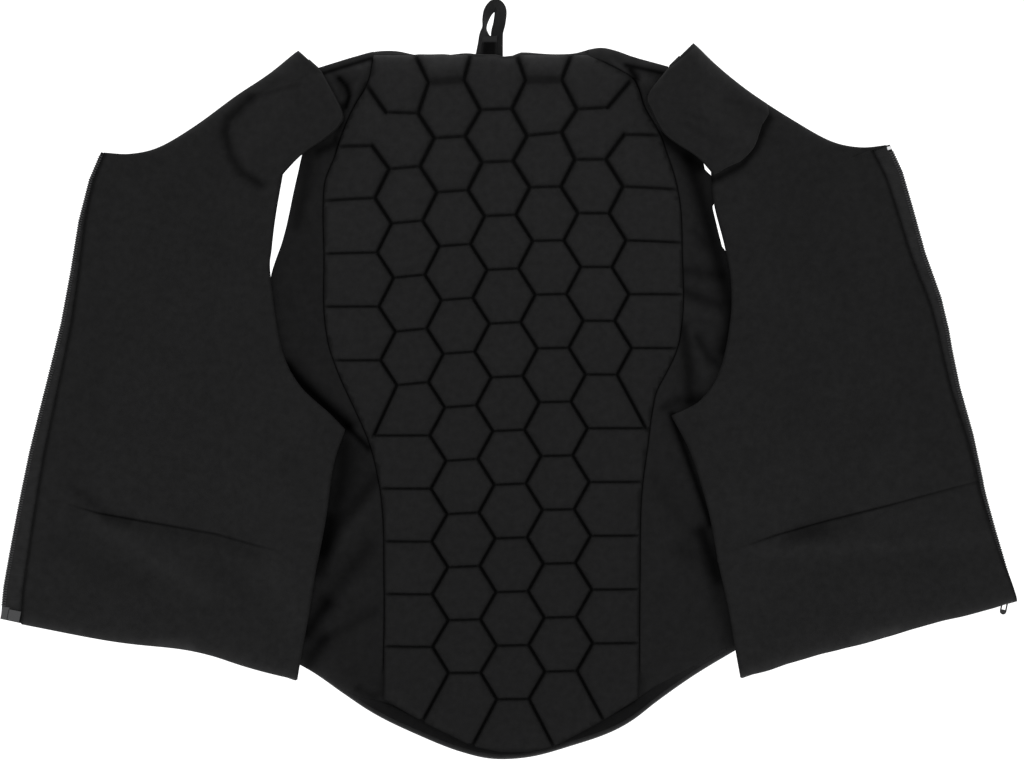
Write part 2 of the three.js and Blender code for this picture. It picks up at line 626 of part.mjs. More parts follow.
function backShell() {
  const under = SHELL_ROWS.map((row) => {
    const left = wingColumns(row, 'left');
    const right = wingColumns(row, 'right').reverse();
    const hemBend = Math.max(0, (HEM_BEND_Y - row.y) / (HEM_BEND_Y - HEM_CORNER_Y)) ** SHELL_BEND;
    const collarBend = Math.max(0, (row.y - COLLAR_BEND_Y) / (COLLAR_Y - COLLAR_BEND_Y)) ** SHELL_BEND;
    return [...left, readTable(PAD_ROWS, 'y', 'axis', row.y), ...right].map((x) => {
      const y = row.y + (hemY(x) - HEM_CORNER_Y) * hemBend + (collarY(x) - COLLAR_Y) * collarBend;
      return new THREE.Vector3(x, y, foldHeight(SHELL_FOLDS, x, y) * sideMask(x, y));
    });
  });
  return gridSolid(raised(under, CLOTH), under);
}

// The facing runs along the hem and narrows where the pad comes down to it.
function hemBand() {
  const padBottom = PAD_ROWS.slice(0, PAD_BOTTOM_ROWS);
  const padHalf = padBottom[PAD_BOTTOM_ROWS - 1].half;
  const rows = [];
  for (let k = 0; k <= HEM_BAND.steps; k += 1) {
    const x = mix(HEM_BAND.left, HEM_BAND.right, k / HEM_BAND.steps);
    const low = hemY(x) + HEM_BAND.inset;
    const off = Math.abs(x - padBottom[0].axis);
    const pad = off < padHalf ? readTable(padBottom, 'half', 'y', off) - HEM_BAND.inset : Infinity;
    const high = Math.max(low + HEM_BAND.least, Math.min(low + HEM_BAND.width, pad));
    rows.push([new THREE.Vector3(x, low, CLOTH + GAP), new THREE.Vector3(x, high, CLOTH + GAP)]);
  }
  return gridSolid(raised(rows, HEM_BAND.thickness), rows);
}

// A place in the honeycomb, across from its middle column and along the back, on the vest.
function latticePoint(across, along) {
  const upper = smooth((along - LATTICE.lowY) / (TOP_CELL_Y - LATTICE.lowY));
  const straight = Math.max(0, (along - LATTICE.lowY) / (TOP_CELL_Y - LATTICE.lowY));
  const x = mix(LATTICE.lowX, LATTICE.topX, straight) + across;
  const lean = mix(LATTICE.lowLean, LATTICE.lean, upper);
  return [x, along + lean * across - LATTICE.sag * across * across];
}

// A cell's corners, counted from the one at its right and round to the left.
function cellCorners(column, row) {
  const across = column * CELL_SIDE * 1.5;
  const along = TOP_CELL_Y - (row + (column % 2 === 0 ? 0 : 0.5)) * CELL_PITCH;
  const corners = [];
  for (let k = 0; k < 6; k += 1) {
    const angle = (k * Math.PI) / 3;
    const high = (Math.sin(angle) / Math.sin(Math.PI / 3)) * (CELL_PITCH / 2);
    corners.push([across + CELL_SIDE * Math.cos(angle), along + high]);
  }
  return corners;
}

// Cells with a channel on each of their six sides, as a column and a run of rows.
const WHOLE_CELLS = [
  { column: 0, first: 0, last: 11 },
  { column: 1, first: 0, last: 10 },
  { column: 2, first: 2, last: 5 },
];
const EDGE_RUN = 90;                // long enough to run off the pad's rim
const FLARE = [23, -41];            // slanted channels at the waist and the lower end

// Channels of the right half, each from one lattice place to another. The left half mirrors them.
function channelLines() {
  const lines = [];
  for (const { column, first, last } of WHOLE_CELLS) {
    for (let row = first; row <= last; row += 1) {
      const corners = cellCorners(column, row);
      corners.forEach((corner, k) => lines.push([corner, corners[(k + 1) % 6]]));
    }
  }
  const outward = (corner) => lines.push([corner, [corner[0] + EDGE_RUN, corner[1]]]);
  for (let row = 1; row <= 5; row += 1) outward(cellCorners(2, row)[0]);
  for (let row = 6; row <= 10; row += 1) outward(cellCorners(1, row)[0]);
  const topCorner = cellCorners(2, 0);
  lines.push([topCorner[0], topCorner[5]], [topCorner[5], topCorner[4]]);
  const wideCell = cellCorners(2, 1);
  lines.push([wideCell[0], wideCell[5]], [wideCell[5], wideCell[4]]);
  const flares = [cellCorners(2, 5)[5], cellCorners(1, 10)[5], cellCorners(0, 11)[5]];
  for (const corner of flares) lines.push([corner, [corner[0] + FLARE[0], corner[1] + FLARE[1]]]);
  return lines;
}

function backPad() {
  const surface = PAD_ROWS.map((row) => {
    const fromEnd = Math.min(row.y - PAD_ROWS[0].y, PAD_ROWS[PAD_ROWS.length - 1].y - row.y);
    const left = PAD_INSETS.map((inset) => [Math.min(inset, row.half * TIP_INSET) - row.half, inset]);
    const middle = PAD_SHARES.map((share) => [-(row.half - PAD_RIM_WIDTH) * share, PAD_RIM_WIDTH]);
    const right = [...left].reverse().map(([x, inset]) => [-x, inset]);
    return [...left, ...middle, ...right].map(([x, inset]) => {
      const rise = smooth(Math.min(inset, fromEnd) / PAD_RIM_WIDTH);
      return new THREE.Vector3(row.axis + x, row.y, CLOTH + GAP + mix(PAD_RIM, PAD_THICKNESS, rise));
    });
  });
  const seat = surface.map((row) => row.map((p) => p.clone().setZ(CLOTH + GAP)));
  const channelFloor = CLOTH + GAP + PAD_THICKNESS - CHANNEL_DEPTH;
  const seen = new Set();
  const cutters = [];
  const cut = (from, to) => {
    const a = latticePoint(...from);
    const b = latticePoint(...to);
    const key = [(a[0] + b[0]) / 2, (a[1] + b[1]) / 2].map(Math.round).join();
    if (seen.has(key)) return;
    seen.add(key);
    const length = Math.hypot(b[0] - a[0], b[1] - a[1]);
    const channel = new THREE.BoxGeometry(length + CHANNEL_WIDTH / 2, CHANNEL_WIDTH, CHANNEL_DEPTH * 2);
    channel.rotateZ(Math.atan2(b[1] - a[1], b[0] - a[0]));
    channel.translate((a[0] + b[0]) / 2, (a[1] + b[1]) / 2, channelFloor + CHANNEL_DEPTH);
    cutters.push(toSolid(channel));
  };
  for (const [from, to] of channelLines()) {
    cut(from, to);
    cut([-from[0], from[1]], [-to[0], to[1]]);
  }
  const channels = cutters.reduce((joined, cutter) => joined.add(cutter));
  return toGeometry(toSolid(gridSolid(surface, seat)).subtract(channels));
}

function hangerLoop() {
  const path = new THREE.CatmullRomCurve3(HANGER_ROWS.map((row) => new THREE.Vector3(row.x, row.y, row.z)));
  const top = [];
  const bottom = [];
  for (let k = 0; k <= WEBBING.steps; k += 1) {
    const t = k / WEBBING.steps;
    const place = path.getPoint(t);
    const tangent = path.getTangent(t);
    const spot = t * (HANGER_ROWS.length - 1);
    const low = Math.min(HANGER_ROWS.length - 2, Math.floor(spot));
    const degrees = mix(HANGER_ROWS[low].standing, HANGER_ROWS[low + 1].standing, spot - low);
    const angle = THREE.MathUtils.degToRad(degrees);
    const level = new THREE.Vector3(tangent.y, -tangent.x, 0).normalize();
    const width = level.multiplyScalar(Math.cos(angle)).add(new THREE.Vector3(0, 0, -Math.sin(angle)));
    const normal = new THREE.Vector3().crossVectors(width, tangent).normalize();
    const across = [-WEBBING.width / 2, WEBBING.width / 2];
    const edge = (reach) => across.map((w) => (
      place.clone().addScaledVector(width, w).addScaledVector(normal, reach)
    ));
    top.push(edge(WEBBING.thickness / 2));
    bottom.push(edge(-WEBBING.thickness / 2));
  }
  return gridSolid(top, bottom);
}

function frontGroup(side, place) {
  const group = new THREE.Group();
  group.position.set(place.x, place.y, 0);
  group.rotation.z = THREE.MathUtils.degToRad(place.lean);
  group.scale.x = place.mirror;
  const grid = frontGrid(side);
  const panel = frontPanel(grid);
  group.add(
    piece(`front_${side}`, panel, BLACK_LINING),
    piece(`shoulder_pad_${side}`, shoulderPad(side, grid, panel), BLACK_LINING),
    piece(`zip_tape_${side}`, zipTape(side), BLACK_WEBBING),
    piece(`zip_teeth_${side}`, zipTeeth(side), BLACK_PLASTIC),
  );
  return group;
}

const leftFront = frontGroup('left', LEFT_PLACE);
leftFront.add(piece('zip_end_tab', block(END_TAB.x, END_TAB.y, [0, END_TAB.height]), BLACK_PLASTIC));

const rightFront = frontGroup('right', RIGHT_PLACE);
const stopX = [-TEETH.outside, TEETH.inside];
rightFront.add(
  piece('zip_top_stop', block(stopX, TOP_STOP.y, [0, TOP_STOP.height]), BRIGHT_METAL),
  piece('zip_box', block(ZIP_BOX.x, ZIP_BOX.y, ZIP_BOX.z), DARK_METAL),
  piece('zip_slider', zipSlider(), DARK_METAL),
  piece('zip_pull', zipPull(), DARK_METAL),
);

const keeperBox = block([KEEPER.left, KEEPER.right], [KEEPER.bottom, KEEPER.top], [0, KEEPER.height]);
const vest = new THREE.Group();
vest.add(
  piece('back_shell', backShell(), BLACK_CLOTH),
  piece('back_pad', backPad(), BLACK_LINING),
  piece('hem_band', hemBand(), BLACK_CLOTH),
  piece('hanger_keeper', keeperBox, BLACK_WEBBING),
  piece('hanger_loop', hangerLoop(), BLACK_WEBBING),
  leftFront,
  rightFront,
);

// The origin is the middle of the vest's footprint, on the floor.
const bounds = new THREE.Box3().setFromObject(vest);
const middle = bounds.getCenter(new THREE.Vector3());
vest.position.set(-middle.x, -middle.y, -bounds.min.z);

export default vest;
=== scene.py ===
"""An open riding vest with a honeycomb back pad, lying lining up, seen from straight above.

Tables are in millimetres, in the frame of the whole vest or of one front, as their comments say.
"""

import math

import bpy
import numpy as np
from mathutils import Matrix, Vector
from mathutils.geometry import delaunay_2d_cdt


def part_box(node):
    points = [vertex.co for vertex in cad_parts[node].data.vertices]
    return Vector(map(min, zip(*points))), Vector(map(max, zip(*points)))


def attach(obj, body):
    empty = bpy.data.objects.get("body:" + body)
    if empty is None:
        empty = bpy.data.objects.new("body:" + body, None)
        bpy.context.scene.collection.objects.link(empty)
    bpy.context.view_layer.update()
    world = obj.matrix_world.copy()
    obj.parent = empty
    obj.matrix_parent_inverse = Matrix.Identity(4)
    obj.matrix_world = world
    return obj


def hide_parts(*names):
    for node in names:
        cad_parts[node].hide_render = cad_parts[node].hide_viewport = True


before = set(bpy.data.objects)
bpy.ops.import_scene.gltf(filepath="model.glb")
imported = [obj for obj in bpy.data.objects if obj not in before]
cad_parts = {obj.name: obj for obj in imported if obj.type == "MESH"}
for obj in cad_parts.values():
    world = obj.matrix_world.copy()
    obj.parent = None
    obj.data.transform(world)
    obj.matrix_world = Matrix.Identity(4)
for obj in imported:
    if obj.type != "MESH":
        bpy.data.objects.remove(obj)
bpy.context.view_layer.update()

MM = 0.001
CLOTH = 2.4  # top of the back's cloth above the floor
SEAM_Z = 5.4  # height of the seam where the pad's cover meets the side cloth
PAD_TOP = 12.6
LOWER_RIM_Z = 8.5  # the pad's lower end stands free of the hem

# The pad's rim at each height.
PAD_ROWS = np.array([
    # y, left, right
    (-317.5, -7, 17), (-312.5, -30.5, 39.5), (-292, -72.2, 77.8), (-272, -106.8, 109.8),
    (-256, -106.3, 111.1), (-175, -105.5, 111.5), (-88, -110, 114), (-55, -118, 118.5),
    (-28, -129.5, 122), (-10, -138, 126),
    (5, -144.5, 134), (26, -152, 143.5), (46, -155.5, 147), (106, -156.5, 147.5), (153, -157, 145),
    (166, -156, 142.5), (190, -147, 135), (210, -140.5, 127.5), (232, -130.5, 115), (247, -121.5, 110),
    (256, -118, 104.5), (266, -116, 87), (275, -114.5, 67),
], float)

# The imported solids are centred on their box, so the tables move by the same amount.
SOLID_PAD_LOW = -315
pad_low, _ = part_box("back_pad")
SHIFT = np.array([
    pad_low.x / MM - PAD_ROWS[:, 1].min(),
    pad_low.y / MM - SOLID_PAD_LOW,
    0.0,
])


def smooth(t):
    t = np.clip(t, 0.0, 1.0)
    return t * t * (3.0 - 2.0 * t)


def mix(a, b, t):
    return a + (b - a) * t


def ramp(at, start, run):
    """A soft step: 0 up to a start and 1 from a run beyond it."""
    return smooth((at - start) / run)


def bell(off, width):
    """1 in the middle, falling softly away on both sides."""
    return np.exp(-((off / width) ** 2))


def swell(off, run):
    """A round bulge: 0 at its edge and 1 from a run inside it."""
    return np.sin(np.clip(off / run, 0, 1) * math.pi / 2)


def spline(keys, values, at):
    """A smooth curve through a table's rows, read at any place of its key."""
    keys = np.asarray(keys, float)
    values = np.asarray(values, float)
    slopes = np.gradient(values, keys)
    at = np.clip(np.asarray(at, float), keys[0], keys[-1])
    low = np.clip(np.searchsorted(keys, at) - 1, 0, len(keys) - 2)
    run = keys[low + 1] - keys[low]
    t = (at - keys[low]) / run
    start = (2 * t**3 - 3 * t**2 + 1) * values[low] + (t**3 - 2 * t**2 + t) * run * slopes[low]
    end = (3 * t**2 - 2 * t**3) * values[low + 1] + (t**3 - t**2) * run * slopes[low + 1]
    return start + end


def noise(x, y, height, cell, seed):
    """Soft random bumps and hollows of up to a height, about one to a cell."""
    count = 64
    lattice = np.random.default_rng(seed).uniform(-1, 1, (count, count))
    u, v = np.asarray(x) / cell, np.asarray(y) / cell
    i, j = np.floor(u).astype(int), np.floor(v).astype(int)
    s, t = smooth(u - i), smooth(v - j)
    i, j, right, up = i % count, j % count, (i + 1) % count, (j + 1) % count
    low, high = mix(lattice[i, j], lattice[right, j], s), mix(lattice[i, up], lattice[right, up], s)
    return height * mix(low, high, t)


def line_distance(x, y, start, end):
    """Distance from points to a line, and how far along the line they are, from 0 to 1."""
    dx, dy = end[0] - start[0], end[1] - start[1]
    along = ((x - start[0]) * dx + (y - start[1]) * dy) / (dx * dx + dy * dy)
    along = np.clip(along, 0.0, 1.0)
    return np.hypot(x - start[0] - along * dx, y - start[1] - along * dy), along


FOLD_END, FOLD_MARGIN = 0.35, 0.1  # share of a fold's height at its ends, and how softly they begin


def fold_heights(folds, x, y):
    """Soft ridges and hollows along lines: start, end, height and width."""
    total = np.zeros_like(np.asarray(x, float))
    for start, end, height, width in folds:
        off, along = line_distance(x, y, start, end)
        arch = np.sin(np.pi * mix(FOLD_MARGIN, 1 - FOLD_MARGIN, along))
        total += height * bell(off, width) * mix(FOLD_END, 1, arch)
    return total


def path_distance(x, y, path):
    """Distance from points to a line of several parts."""
    nearest = np.full(np.shape(x), 1e9)
    for start, end in zip(path[:-1], path[1:]):
        nearest = np.minimum(nearest, line_distance(x, y, start, end)[0])
    return nearest


def table(rows, at):
    """A straight-sided curve through pairs of place and value."""
    return np.interp(at, [row[0] for row in rows], [row[1] for row in rows])


def curve(points, at):
    """A smooth curve through pairs of place and value."""
    return spline(points[:, 0], points[:, 1], at)


def rounded(off, radius, share=1.0):
    """How far a folded edge falls away near its end."""
    inner = np.clip(1 - off / radius, 0, 1)
    return radius * (1 - np.sqrt(1 - inner * inner)) * share


def painted_shading(paths, x, y):
    """Painted shade and painted highlights along soft paths: the width, how much tone each takes away (a
    negative amount paints light), and the path of each.
    """
    tone = np.ones_like(x)
    for width, dark, *path in paths:
        tone *= 1 - dark * bell(path_distance(x, y, path), width)
    return tone


RIM_LIGHT = [(1.2, 2.8), (0.25, 9)]  # how much light a rolled edge catches, and how far in it fades


def rim_light(off, strength=1.0):
    """Rolled edges catch light, which fades inward."""
    off = np.maximum(off, 0)
    return 1 + strength * sum(light * np.exp(-off / fade) for light, fade in RIM_LIGHT)


# Looks

MOTTLE = {"Scale": 170, "Detail": 5, "Roughness": 0.6}
MOTTLE_TONES = {"To Min": 0.56, "To Max": 1.46}
KNIT = {"Scale": 1100, "Detail": 2}
RIBS = {"Scale": 260, "Distortion": 0.4}
FUZZ = {"Roughness": 0.95, "Sheen Roughness": 0.6}
CLOTH_SHINE = 0.08
WEAR = {"Scale": 700}
WEAR_RANGE = (0.8, 1.2)  # how the wear of plastic and metal changes their roughness


def set_inputs(look, node, inputs):
    """Sets a node's inputs to values, or joins them to the outputs of other nodes."""
    for socket, value in inputs.items():
        if isinstance(value, bpy.types.NodeSocket):
            look.node_tree.links.new(value, node.inputs[socket])
        else:
            node.inputs[socket].default_value = value


def add_node(look, kind, inputs=None, operation=None):
    node = look.node_tree.nodes.new(f"ShaderNode{kind}")
    if operation:
        node.operation = operation
    set_inputs(look, node, inputs or {})
    return node


def times(look, first, second):
    return add_node(look, "Math", {0: first, 1: second}, "MULTIPLY").outputs["Value"]


def new_look(name):
    """A new look, its shader, and the input that says where on an object a point is."""
    look = bpy.data.materials.new(name)
    look.use_nodes = True
    place = {"Vector": add_node(look, "TexCoord").outputs["Object"]}
    return look, look.node_tree.nodes["Principled BSDF"], place


def cloth_look(name, colour, knit=0.00012, sheen=0.025, ribs=None):
    """Black cloth: a fine knit, a little fuzz, and darker where a piece's shade attribute says so."""
    look, shader, place = new_look(name)
    mottle = add_node(look, "TexNoise", {**place, **MOTTLE}).outputs["Fac"]
    level = add_node(look, "MapRange", {"Value": mottle, **MOTTLE_TONES}).outputs["Result"]
    attribute = add_node(look, "Attribute")
    attribute.attribute_name = "shade"
    shade = attribute.outputs["Fac"]
    tint = add_node(look, "VectorMath", {0: colour, "Scale": times(look, level, shade)}, "SCALE")
    if ribs:
        weave = add_node(look, "TexWave", {**place, **RIBS})
        weave.bands_direction = ribs
    else:
        weave = add_node(look, "TexNoise", {**place, **KNIT})
    bump = add_node(look, "Bump", {"Strength": 1, "Distance": knit, "Height": weave.outputs["Fac"]})
    set_inputs(look, shader, {
        **FUZZ,
        "Base Color": tint.outputs["Vector"],
        "Specular IOR Level": times(look, shade, CLOTH_SHINE),
        "Sheen Weight": times(look, shade, sheen),
        "Normal": bump.outputs["Normal"],
    })
    return look


def hard_look(name, colour, roughness, metallic=0.0):
    """Plastic or metal, a little worn."""
    look, shader, place = new_look(name)
    wear = add_node(look, "TexNoise", {**place, **WEAR}).outputs["Fac"]
    low, high = (roughness * share for share in WEAR_RANGE)
    gloss = add_node(look, "MapRange", {"Value": wear, "To Min": low, "To Max": high})
    set_inputs(look, shader, {
        "Base Color": (*colour, 1), "Metallic": metallic, "Roughness": gloss.outputs["Result"],
    })
    return look


LINING = cloth_look("lining", (0.0108, 0.0108, 0.011))
SHELL = cloth_look("shell_cloth", (0.0092, 0.0092, 0.0094))
# The facing's darker colour is partly its own and partly painted shade under the pad's lower end.
FACING = cloth_look("facing", (0.0045, 0.0045, 0.0047), sheen=0.03)
WEBBING = cloth_look("webbing", (0.0135, 0.0135, 0.0138), knit=0.0003, ribs="X")
TAPE = cloth_look("zip_tape", (0.0168, 0.0168, 0.0171), knit=0.0002, ribs="Y")
TEETH = hard_look("zip_teeth", (0.02, 0.02, 0.021), 0.45)
PLASTIC = hard_look("zip_plastic", (0.035, 0.035, 0.037), 0.35)
DARK_METAL = hard_look("dark_metal", (0.012, 0.012, 0.0125), 0.55, 0.2)
BRIGHT_METAL = hard_look("bright_metal", (0.75, 0.75, 0.76), 0.25, 1.0)


# Meshes


def mesh_object(name, points, faces, look, shade=None):
    """A smooth mesh in the row frame from points in millimetres in the vest's frame."""
    mesh = bpy.data.meshes.new(name)
    mesh.from_pydata(((np.asarray(points, float) + SHIFT) * MM).tolist(), [], faces)
    mesh.polygons.foreach_set("use_smooth", [True] * len(mesh.polygons))
    level = np.ones(len(points)) if shade is None else np.asarray(shade, float)
    attribute = mesh.attributes.new("shade", "FLOAT", "POINT")
    attribute.data.foreach_set("value", level.astype(np.float32))
    mesh.materials.append(look)
    made = bpy.data.objects.new(name, mesh)
    bpy.context.scene.collection.objects.link(made)
    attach(made, "vest")
    return made


def grid_points(x, y, z):
    """A grid of points. A column or a single value stands for all columns of the grid."""
    return np.stack(np.broadcast_arrays(x, y, z), axis=-1)


def grid_object(name, grid, look, shade=None, flip=False):
    """A sheet from a grid of points, rows by columns."""
    rows, columns = grid.shape[:2]
    index = np.arange(rows * columns).reshape(rows, columns)
    corners = [index[:-1, :-1], index[:-1, 1:], index[1:, 1:], index[1:, :-1]]
    if flip:
        corners.reverse()
    faces = np.stack(corners, axis=-1).reshape(-1, 4).tolist()
    level = None if shade is None else np.broadcast_to(shade, (rows, columns)).ravel()
    return mesh_object(name, grid.reshape(-1, 3), faces, look, level)


def thicken(made, thickness):
    """Gives a sheet its thickness, below the surface that was drawn."""
    solid = made.modifiers.new("thickness", "SOLIDIFY")
    solid.thickness = thickness * MM
    solid.offset = -1
    solid.use_even_offset = False
    return made


def dress(made, node, thickness=0.0):
    """Shows a piece in place of a solid, and gives a sheet its thickness."""
    if thickness:
        thicken(made, thickness)
    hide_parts(node)


# Back pad: cells between sewn channels

STRAIGHT_ROWS = 4  # the rim runs straight between the rows of its lower end


def pad_half(y):
    """The pad's middle line and half width at a height."""
    left, right = (
        np.where(
            y < PAD_ROWS[STRAIGHT_ROWS, 0],
            np.interp(y, PAD_ROWS[:, 0], PAD_ROWS[:, side]),
            spline(PAD_ROWS[STRAIGHT_ROWS:, 0], PAD_ROWS[STRAIGHT_ROWS:, side], y),
        )
        for side in (1, 2)
    )
    return (left + right) / 2, (right - left) / 2


def neck_dip(x, y):
    """How far the collar lies lower behind the hanger."""
    run = NECK_DIP["run"]
    across = ramp(x, NECK_DIP["left"], run) * ramp(NECK_DIP["right"], x, run)
    return NECK_DIP["depth"] * across * ramp(y, *NECK_DIP["over"])


RIM_SPANS = [(-316, -272, 16), (-265, 240, 100), (242, 275, 16)]  # heights from and to, number of points
NECK_POINTS = 90


def pad_outline():
    """The pad's rim, anticlockwise from its lower right."""
    y = np.concatenate([PAD_ROWS[0, :1], *(np.linspace(*span) for span in RIM_SPANS)])
    axis, half = pad_half(y)
    top = np.linspace(axis[-1] + half[-1], axis[-1] - half[-1], NECK_POINTS)[1:-1]
    return np.concatenate([
        np.column_stack([axis + half, y]),
        np.column_stack([top, np.full(len(top), y[-1])]),
        np.column_stack([axis - half, y])[::-1],
    ])


CELL = {"side": 26.7, "pitch": 45.63, "top": 252.6}
CELL_COLUMNS = [(0, 0, 11), (1, 0, 10), (2, 2, 5)]  # column beside the middle, its first and last row
EDGE_COLUMNS = [(2, 2, 5), (1, 7, 10)]  # the same for cells with a channel to the rim

# How the honeycomb lies on the vest, at its low end, its middle and its top.
LATTICE_LOW, LATTICE_TOP = -260, 252
LATTICE = {
    "axis": (3.7, -1.1, -13.3),
    "slope": (0.015, 0.048, 0.037),
    "sag": (0.00015, -0.00032, -0.00015),
    "spread": (1.022, 1.0, 0.978),
}
LATTICE_PULL = {"by": 2.2, "across": (15, 40), "along": (190, 40)}  # the upper right is pulled outward

# Channels by how they run: how deep they are, how wide, and how much of the cloth's tone is left in them as
# painted shade.
CHANNELS = {
    "slanted": {"depth": 5.4, "width": 1.08, "tone": 0.31},
    "level": {"depth": 3.8, "width": 0.86, "tone": 0.52},
    "neck": {"depth": 3.0, "width": 2.1, "tone": 0.55},
    "rim": {"depth": 0.8, "width": 0.55, "tone": 0.4},
}

CHANNELS_WIDEN = {"by": 0.3, "over": (90, 120)}  # toward the neck
CHANNEL_END = {"share": 0.15, "run": 8}  # share of its depth that a channel has at the rim

# A channel's side: distance from its middle, and the share of its depth left there.
CHANNEL_SIDE = np.array([
    (0, 1), (0.6, 0.97), (1.0, 0.8), (1.5, 0.45), (2.1, 0.2), (3.2, 0.08), (5, 0.02), (8, 0),
])
CHANNEL_ROWS = (0, 0.6, 1.1, 1.7, 2.6, 4.4)  # rows of points on both sides of a channel
EDGE_REACH = 90  # far enough to cross the rim
EDGE_DROOP = {"slope": 0.05, "over": (80, 60)}
OUTWARD = np.array([30, -60])  # how a slanted channel runs on from a corner
PAD_SEAM_TOP = 272  # the seam stops short of the neck

# Outer corners of the upper cells on each side: the low and high end of the top cell's outer channel, and the
# corner under it where the first channel to the rim begins.
UPPER_CORNERS = {
    -1: np.array([(-104, 226), (-119.5, 248), (-115.6, 197.5)]),
    1: np.array([(84.2, 230.2), (103.3, 252.7), (98, 207)]),
}

# Corners near the neck that lie off the even honeycomb: where one is, and how far it is pulled.
NECK_PULLS = np.array([
    # x, y, pull in x, pull in y
    (-27.2, 275.4, -4.6, 0.0), (-0.6, 275.4, 8.8, 0.0), (-81.7, 275.4, 2.0, 0.0), (52.3, 275.4, 1.5, 0.0),
    (-65.4, 251.9, -2.4, 1.2), (-39.2, 252.0, 1.6, 2.1), (13.3, 255.5, 1.5, -0.5), (41.3, 255.5, 4.2, -0.5),
    (-25.4, 230.5, 1.2, -1.2), (1.4, 231.1, 1.8, -1.2), (55.1, 232.3, 2.4, -3.0), (-77.9, 227.5, 0.6, -1.2),
    (15.7, 208.4, 0.0, -1.8), (42.6, 209.6, 2.4, 0.6),
])
PULL_REACH = 9

# The collar and the pad's top drop a little behind the hanger.
NECK_DIP = {"left": -10.0, "right": 9.6, "run": 5.0, "depth": 2.0, "over": (258.0, 16.0)}

# Painted highlights on the half cells at the neck.
PAD_HIGHLIGHTS = [
    (6, -0.25, (-64, 269), (-41, 270)),
    (6, -0.2, (20, 270), (40, 269)),
]
# Painted light on the pad, by height.
PAD_PAINTED_LIGHT = {"upper": 0.14, "lower": 0.08, "reach": 220}  # lighter toward the neck, darker toward the hem
NECK_LIGHT = 0.8

# Bumps and uneven tone, here and further on: height, cell and seed.
PAD_BUMPS = (0.2, 16, 8)
PAD_MOTTLE = (0.025, 28, 62)

PAD_LOW_END = (-250, -14)  # where the pad's lower end begins, and how softly
PAD_SWELL = (34.0, 18.0)  # how far inside its sides and its lower end the pad is full
PAD_STEPS = {"apart": 4.5, "along": 1.6, "merged": 0.55, "rim": 0.9}  # distances between the pad's points
PAD_FOOT = 0.4  # gap between the pad's side and the cloth
INSIDE, TOUCHING = 1, 1e-4  # triangles are kept inside the rim; points nearer than this are one


def bend(values, along):
    """A curve through a low, a middle and a top value."""
    low, middle, top = values
    s = (along - LATTICE_LOW) / (LATTICE_TOP - LATTICE_LOW)
    return low * (1 - s) * (1 - 2 * s) + 4 * middle * s * (1 - s) + top * s * (2 * s - 1)


def lattice_place(corner, mirror):
    """Where a corner of the honeycomb's right half, or its mirror image, lies on the vest."""
    across, along = corner
    across = across * mirror * bend(LATTICE["spread"], along)
    pull = LATTICE_PULL["by"] * ramp(across, *LATTICE_PULL["across"]) * ramp(along, *LATTICE_PULL["along"])
    drop = bend(LATTICE["slope"], along) * across + bend(LATTICE["sag"], along) * across**2
    place = np.array([bend(LATTICE["axis"], along) + across + pull, along + drop])
    near = np.exp(-((NECK_PULLS[:, :2] - place) ** 2).sum(axis=1) / PULL_REACH**2)
    return place + near @ NECK_PULLS[:, 2:]


def cell_corners(column, row):
    """A cell's corners, from the one at its right and round to the left."""
    across = column * CELL["side"] * 1.5
    along = CELL["top"] - (row + (column % 2) / 2) * CELL["pitch"]
    rise = CELL["pitch"] / 2 / math.sin(math.pi / 3)
    turns = [k * math.pi / 3 for k in range(6)]
    return [(across + CELL["side"] * math.cos(t), along + rise * math.sin(t)) for t in turns]


def channel_lines():
    """All channels, as pairs of places on the vest with their kind."""
    found = {}

    def add(start, end, kind=None):
        kind = kind or ("level" if abs(end[1] - start[1]) < 1 else "slanted")
        for mirror in (1, -1):
            a, b = lattice_place(start, mirror), lattice_place(end, mirror)
            key = tuple(sorted([tuple(np.round(a, 1)), tuple(np.round(b, 1))]))
            found.setdefault(key, (a, b, kind))

    neck = cell_corners(1, 0)
    add(neck[1], neck[2], "neck")
    for column, first, last in CELL_COLUMNS:
        for row in range(first, last + 1):
            corners = cell_corners(column, row)
            for k in range(6):
                add(corners[k], corners[(k + 1) % 6])
    for column, first, last in EDGE_COLUMNS:
        for row in range(first, last + 1):
            for mirror in (1, -1):
                a = lattice_place(cell_corners(column, row)[0], mirror)
                droop = EDGE_DROOP["slope"] * ramp(a[1], *EDGE_DROOP["over"])
                found[tuple(a)] = (a, a + (EDGE_REACH * mirror, -EDGE_REACH * droop), "level")
    top, wide = cell_corners(2, 0), cell_corners(2, 1)
    add(top[2], top[3])
    add(wide[4], wide[5])
    for corner in [cell_corners(1, 10)[5], cell_corners(0, 11)[5]]:
        add(corner, corner + OUTWARD)
    waist, first = cell_corners(2, 5)[5], cell_corners(1, 6)[0]
    for mirror, (low, high, shoulder) in UPPER_CORNERS.items():
        found["top", mirror] = (lattice_place(top[4], mirror), low, "level")
        found["outer", mirror] = (low, high, "slanted")
        found["shoulder", mirror] = (lattice_place(wide[5], mirror), shoulder, "slanted")
        found["rim", mirror] = (shoulder, shoulder + (EDGE_REACH * mirror, 0), "level")
        start, far, edge = (lattice_place(place, mirror) for place in (waist, waist + OUTWARD, first))
        meet = start + (far - start) * (start[1] - edge[1]) / (start[1] - far[1])
        found["waist", mirror] = (start, meet, "slanted")
        found["waist edge", mirror] = (edge, meet, "level")
    return list(found.values())


def pad_surface(y, off):
    """The cover's height without its channels: low along its seam and full inside."""
    low_end = ramp(y, *PAD_LOW_END)
    rim = mix(SEAM_Z, LOWER_RIM_Z, low_end)
    return rim + (PAD_TOP - rim) * swell(off, mix(*PAD_SWELL, low_end))


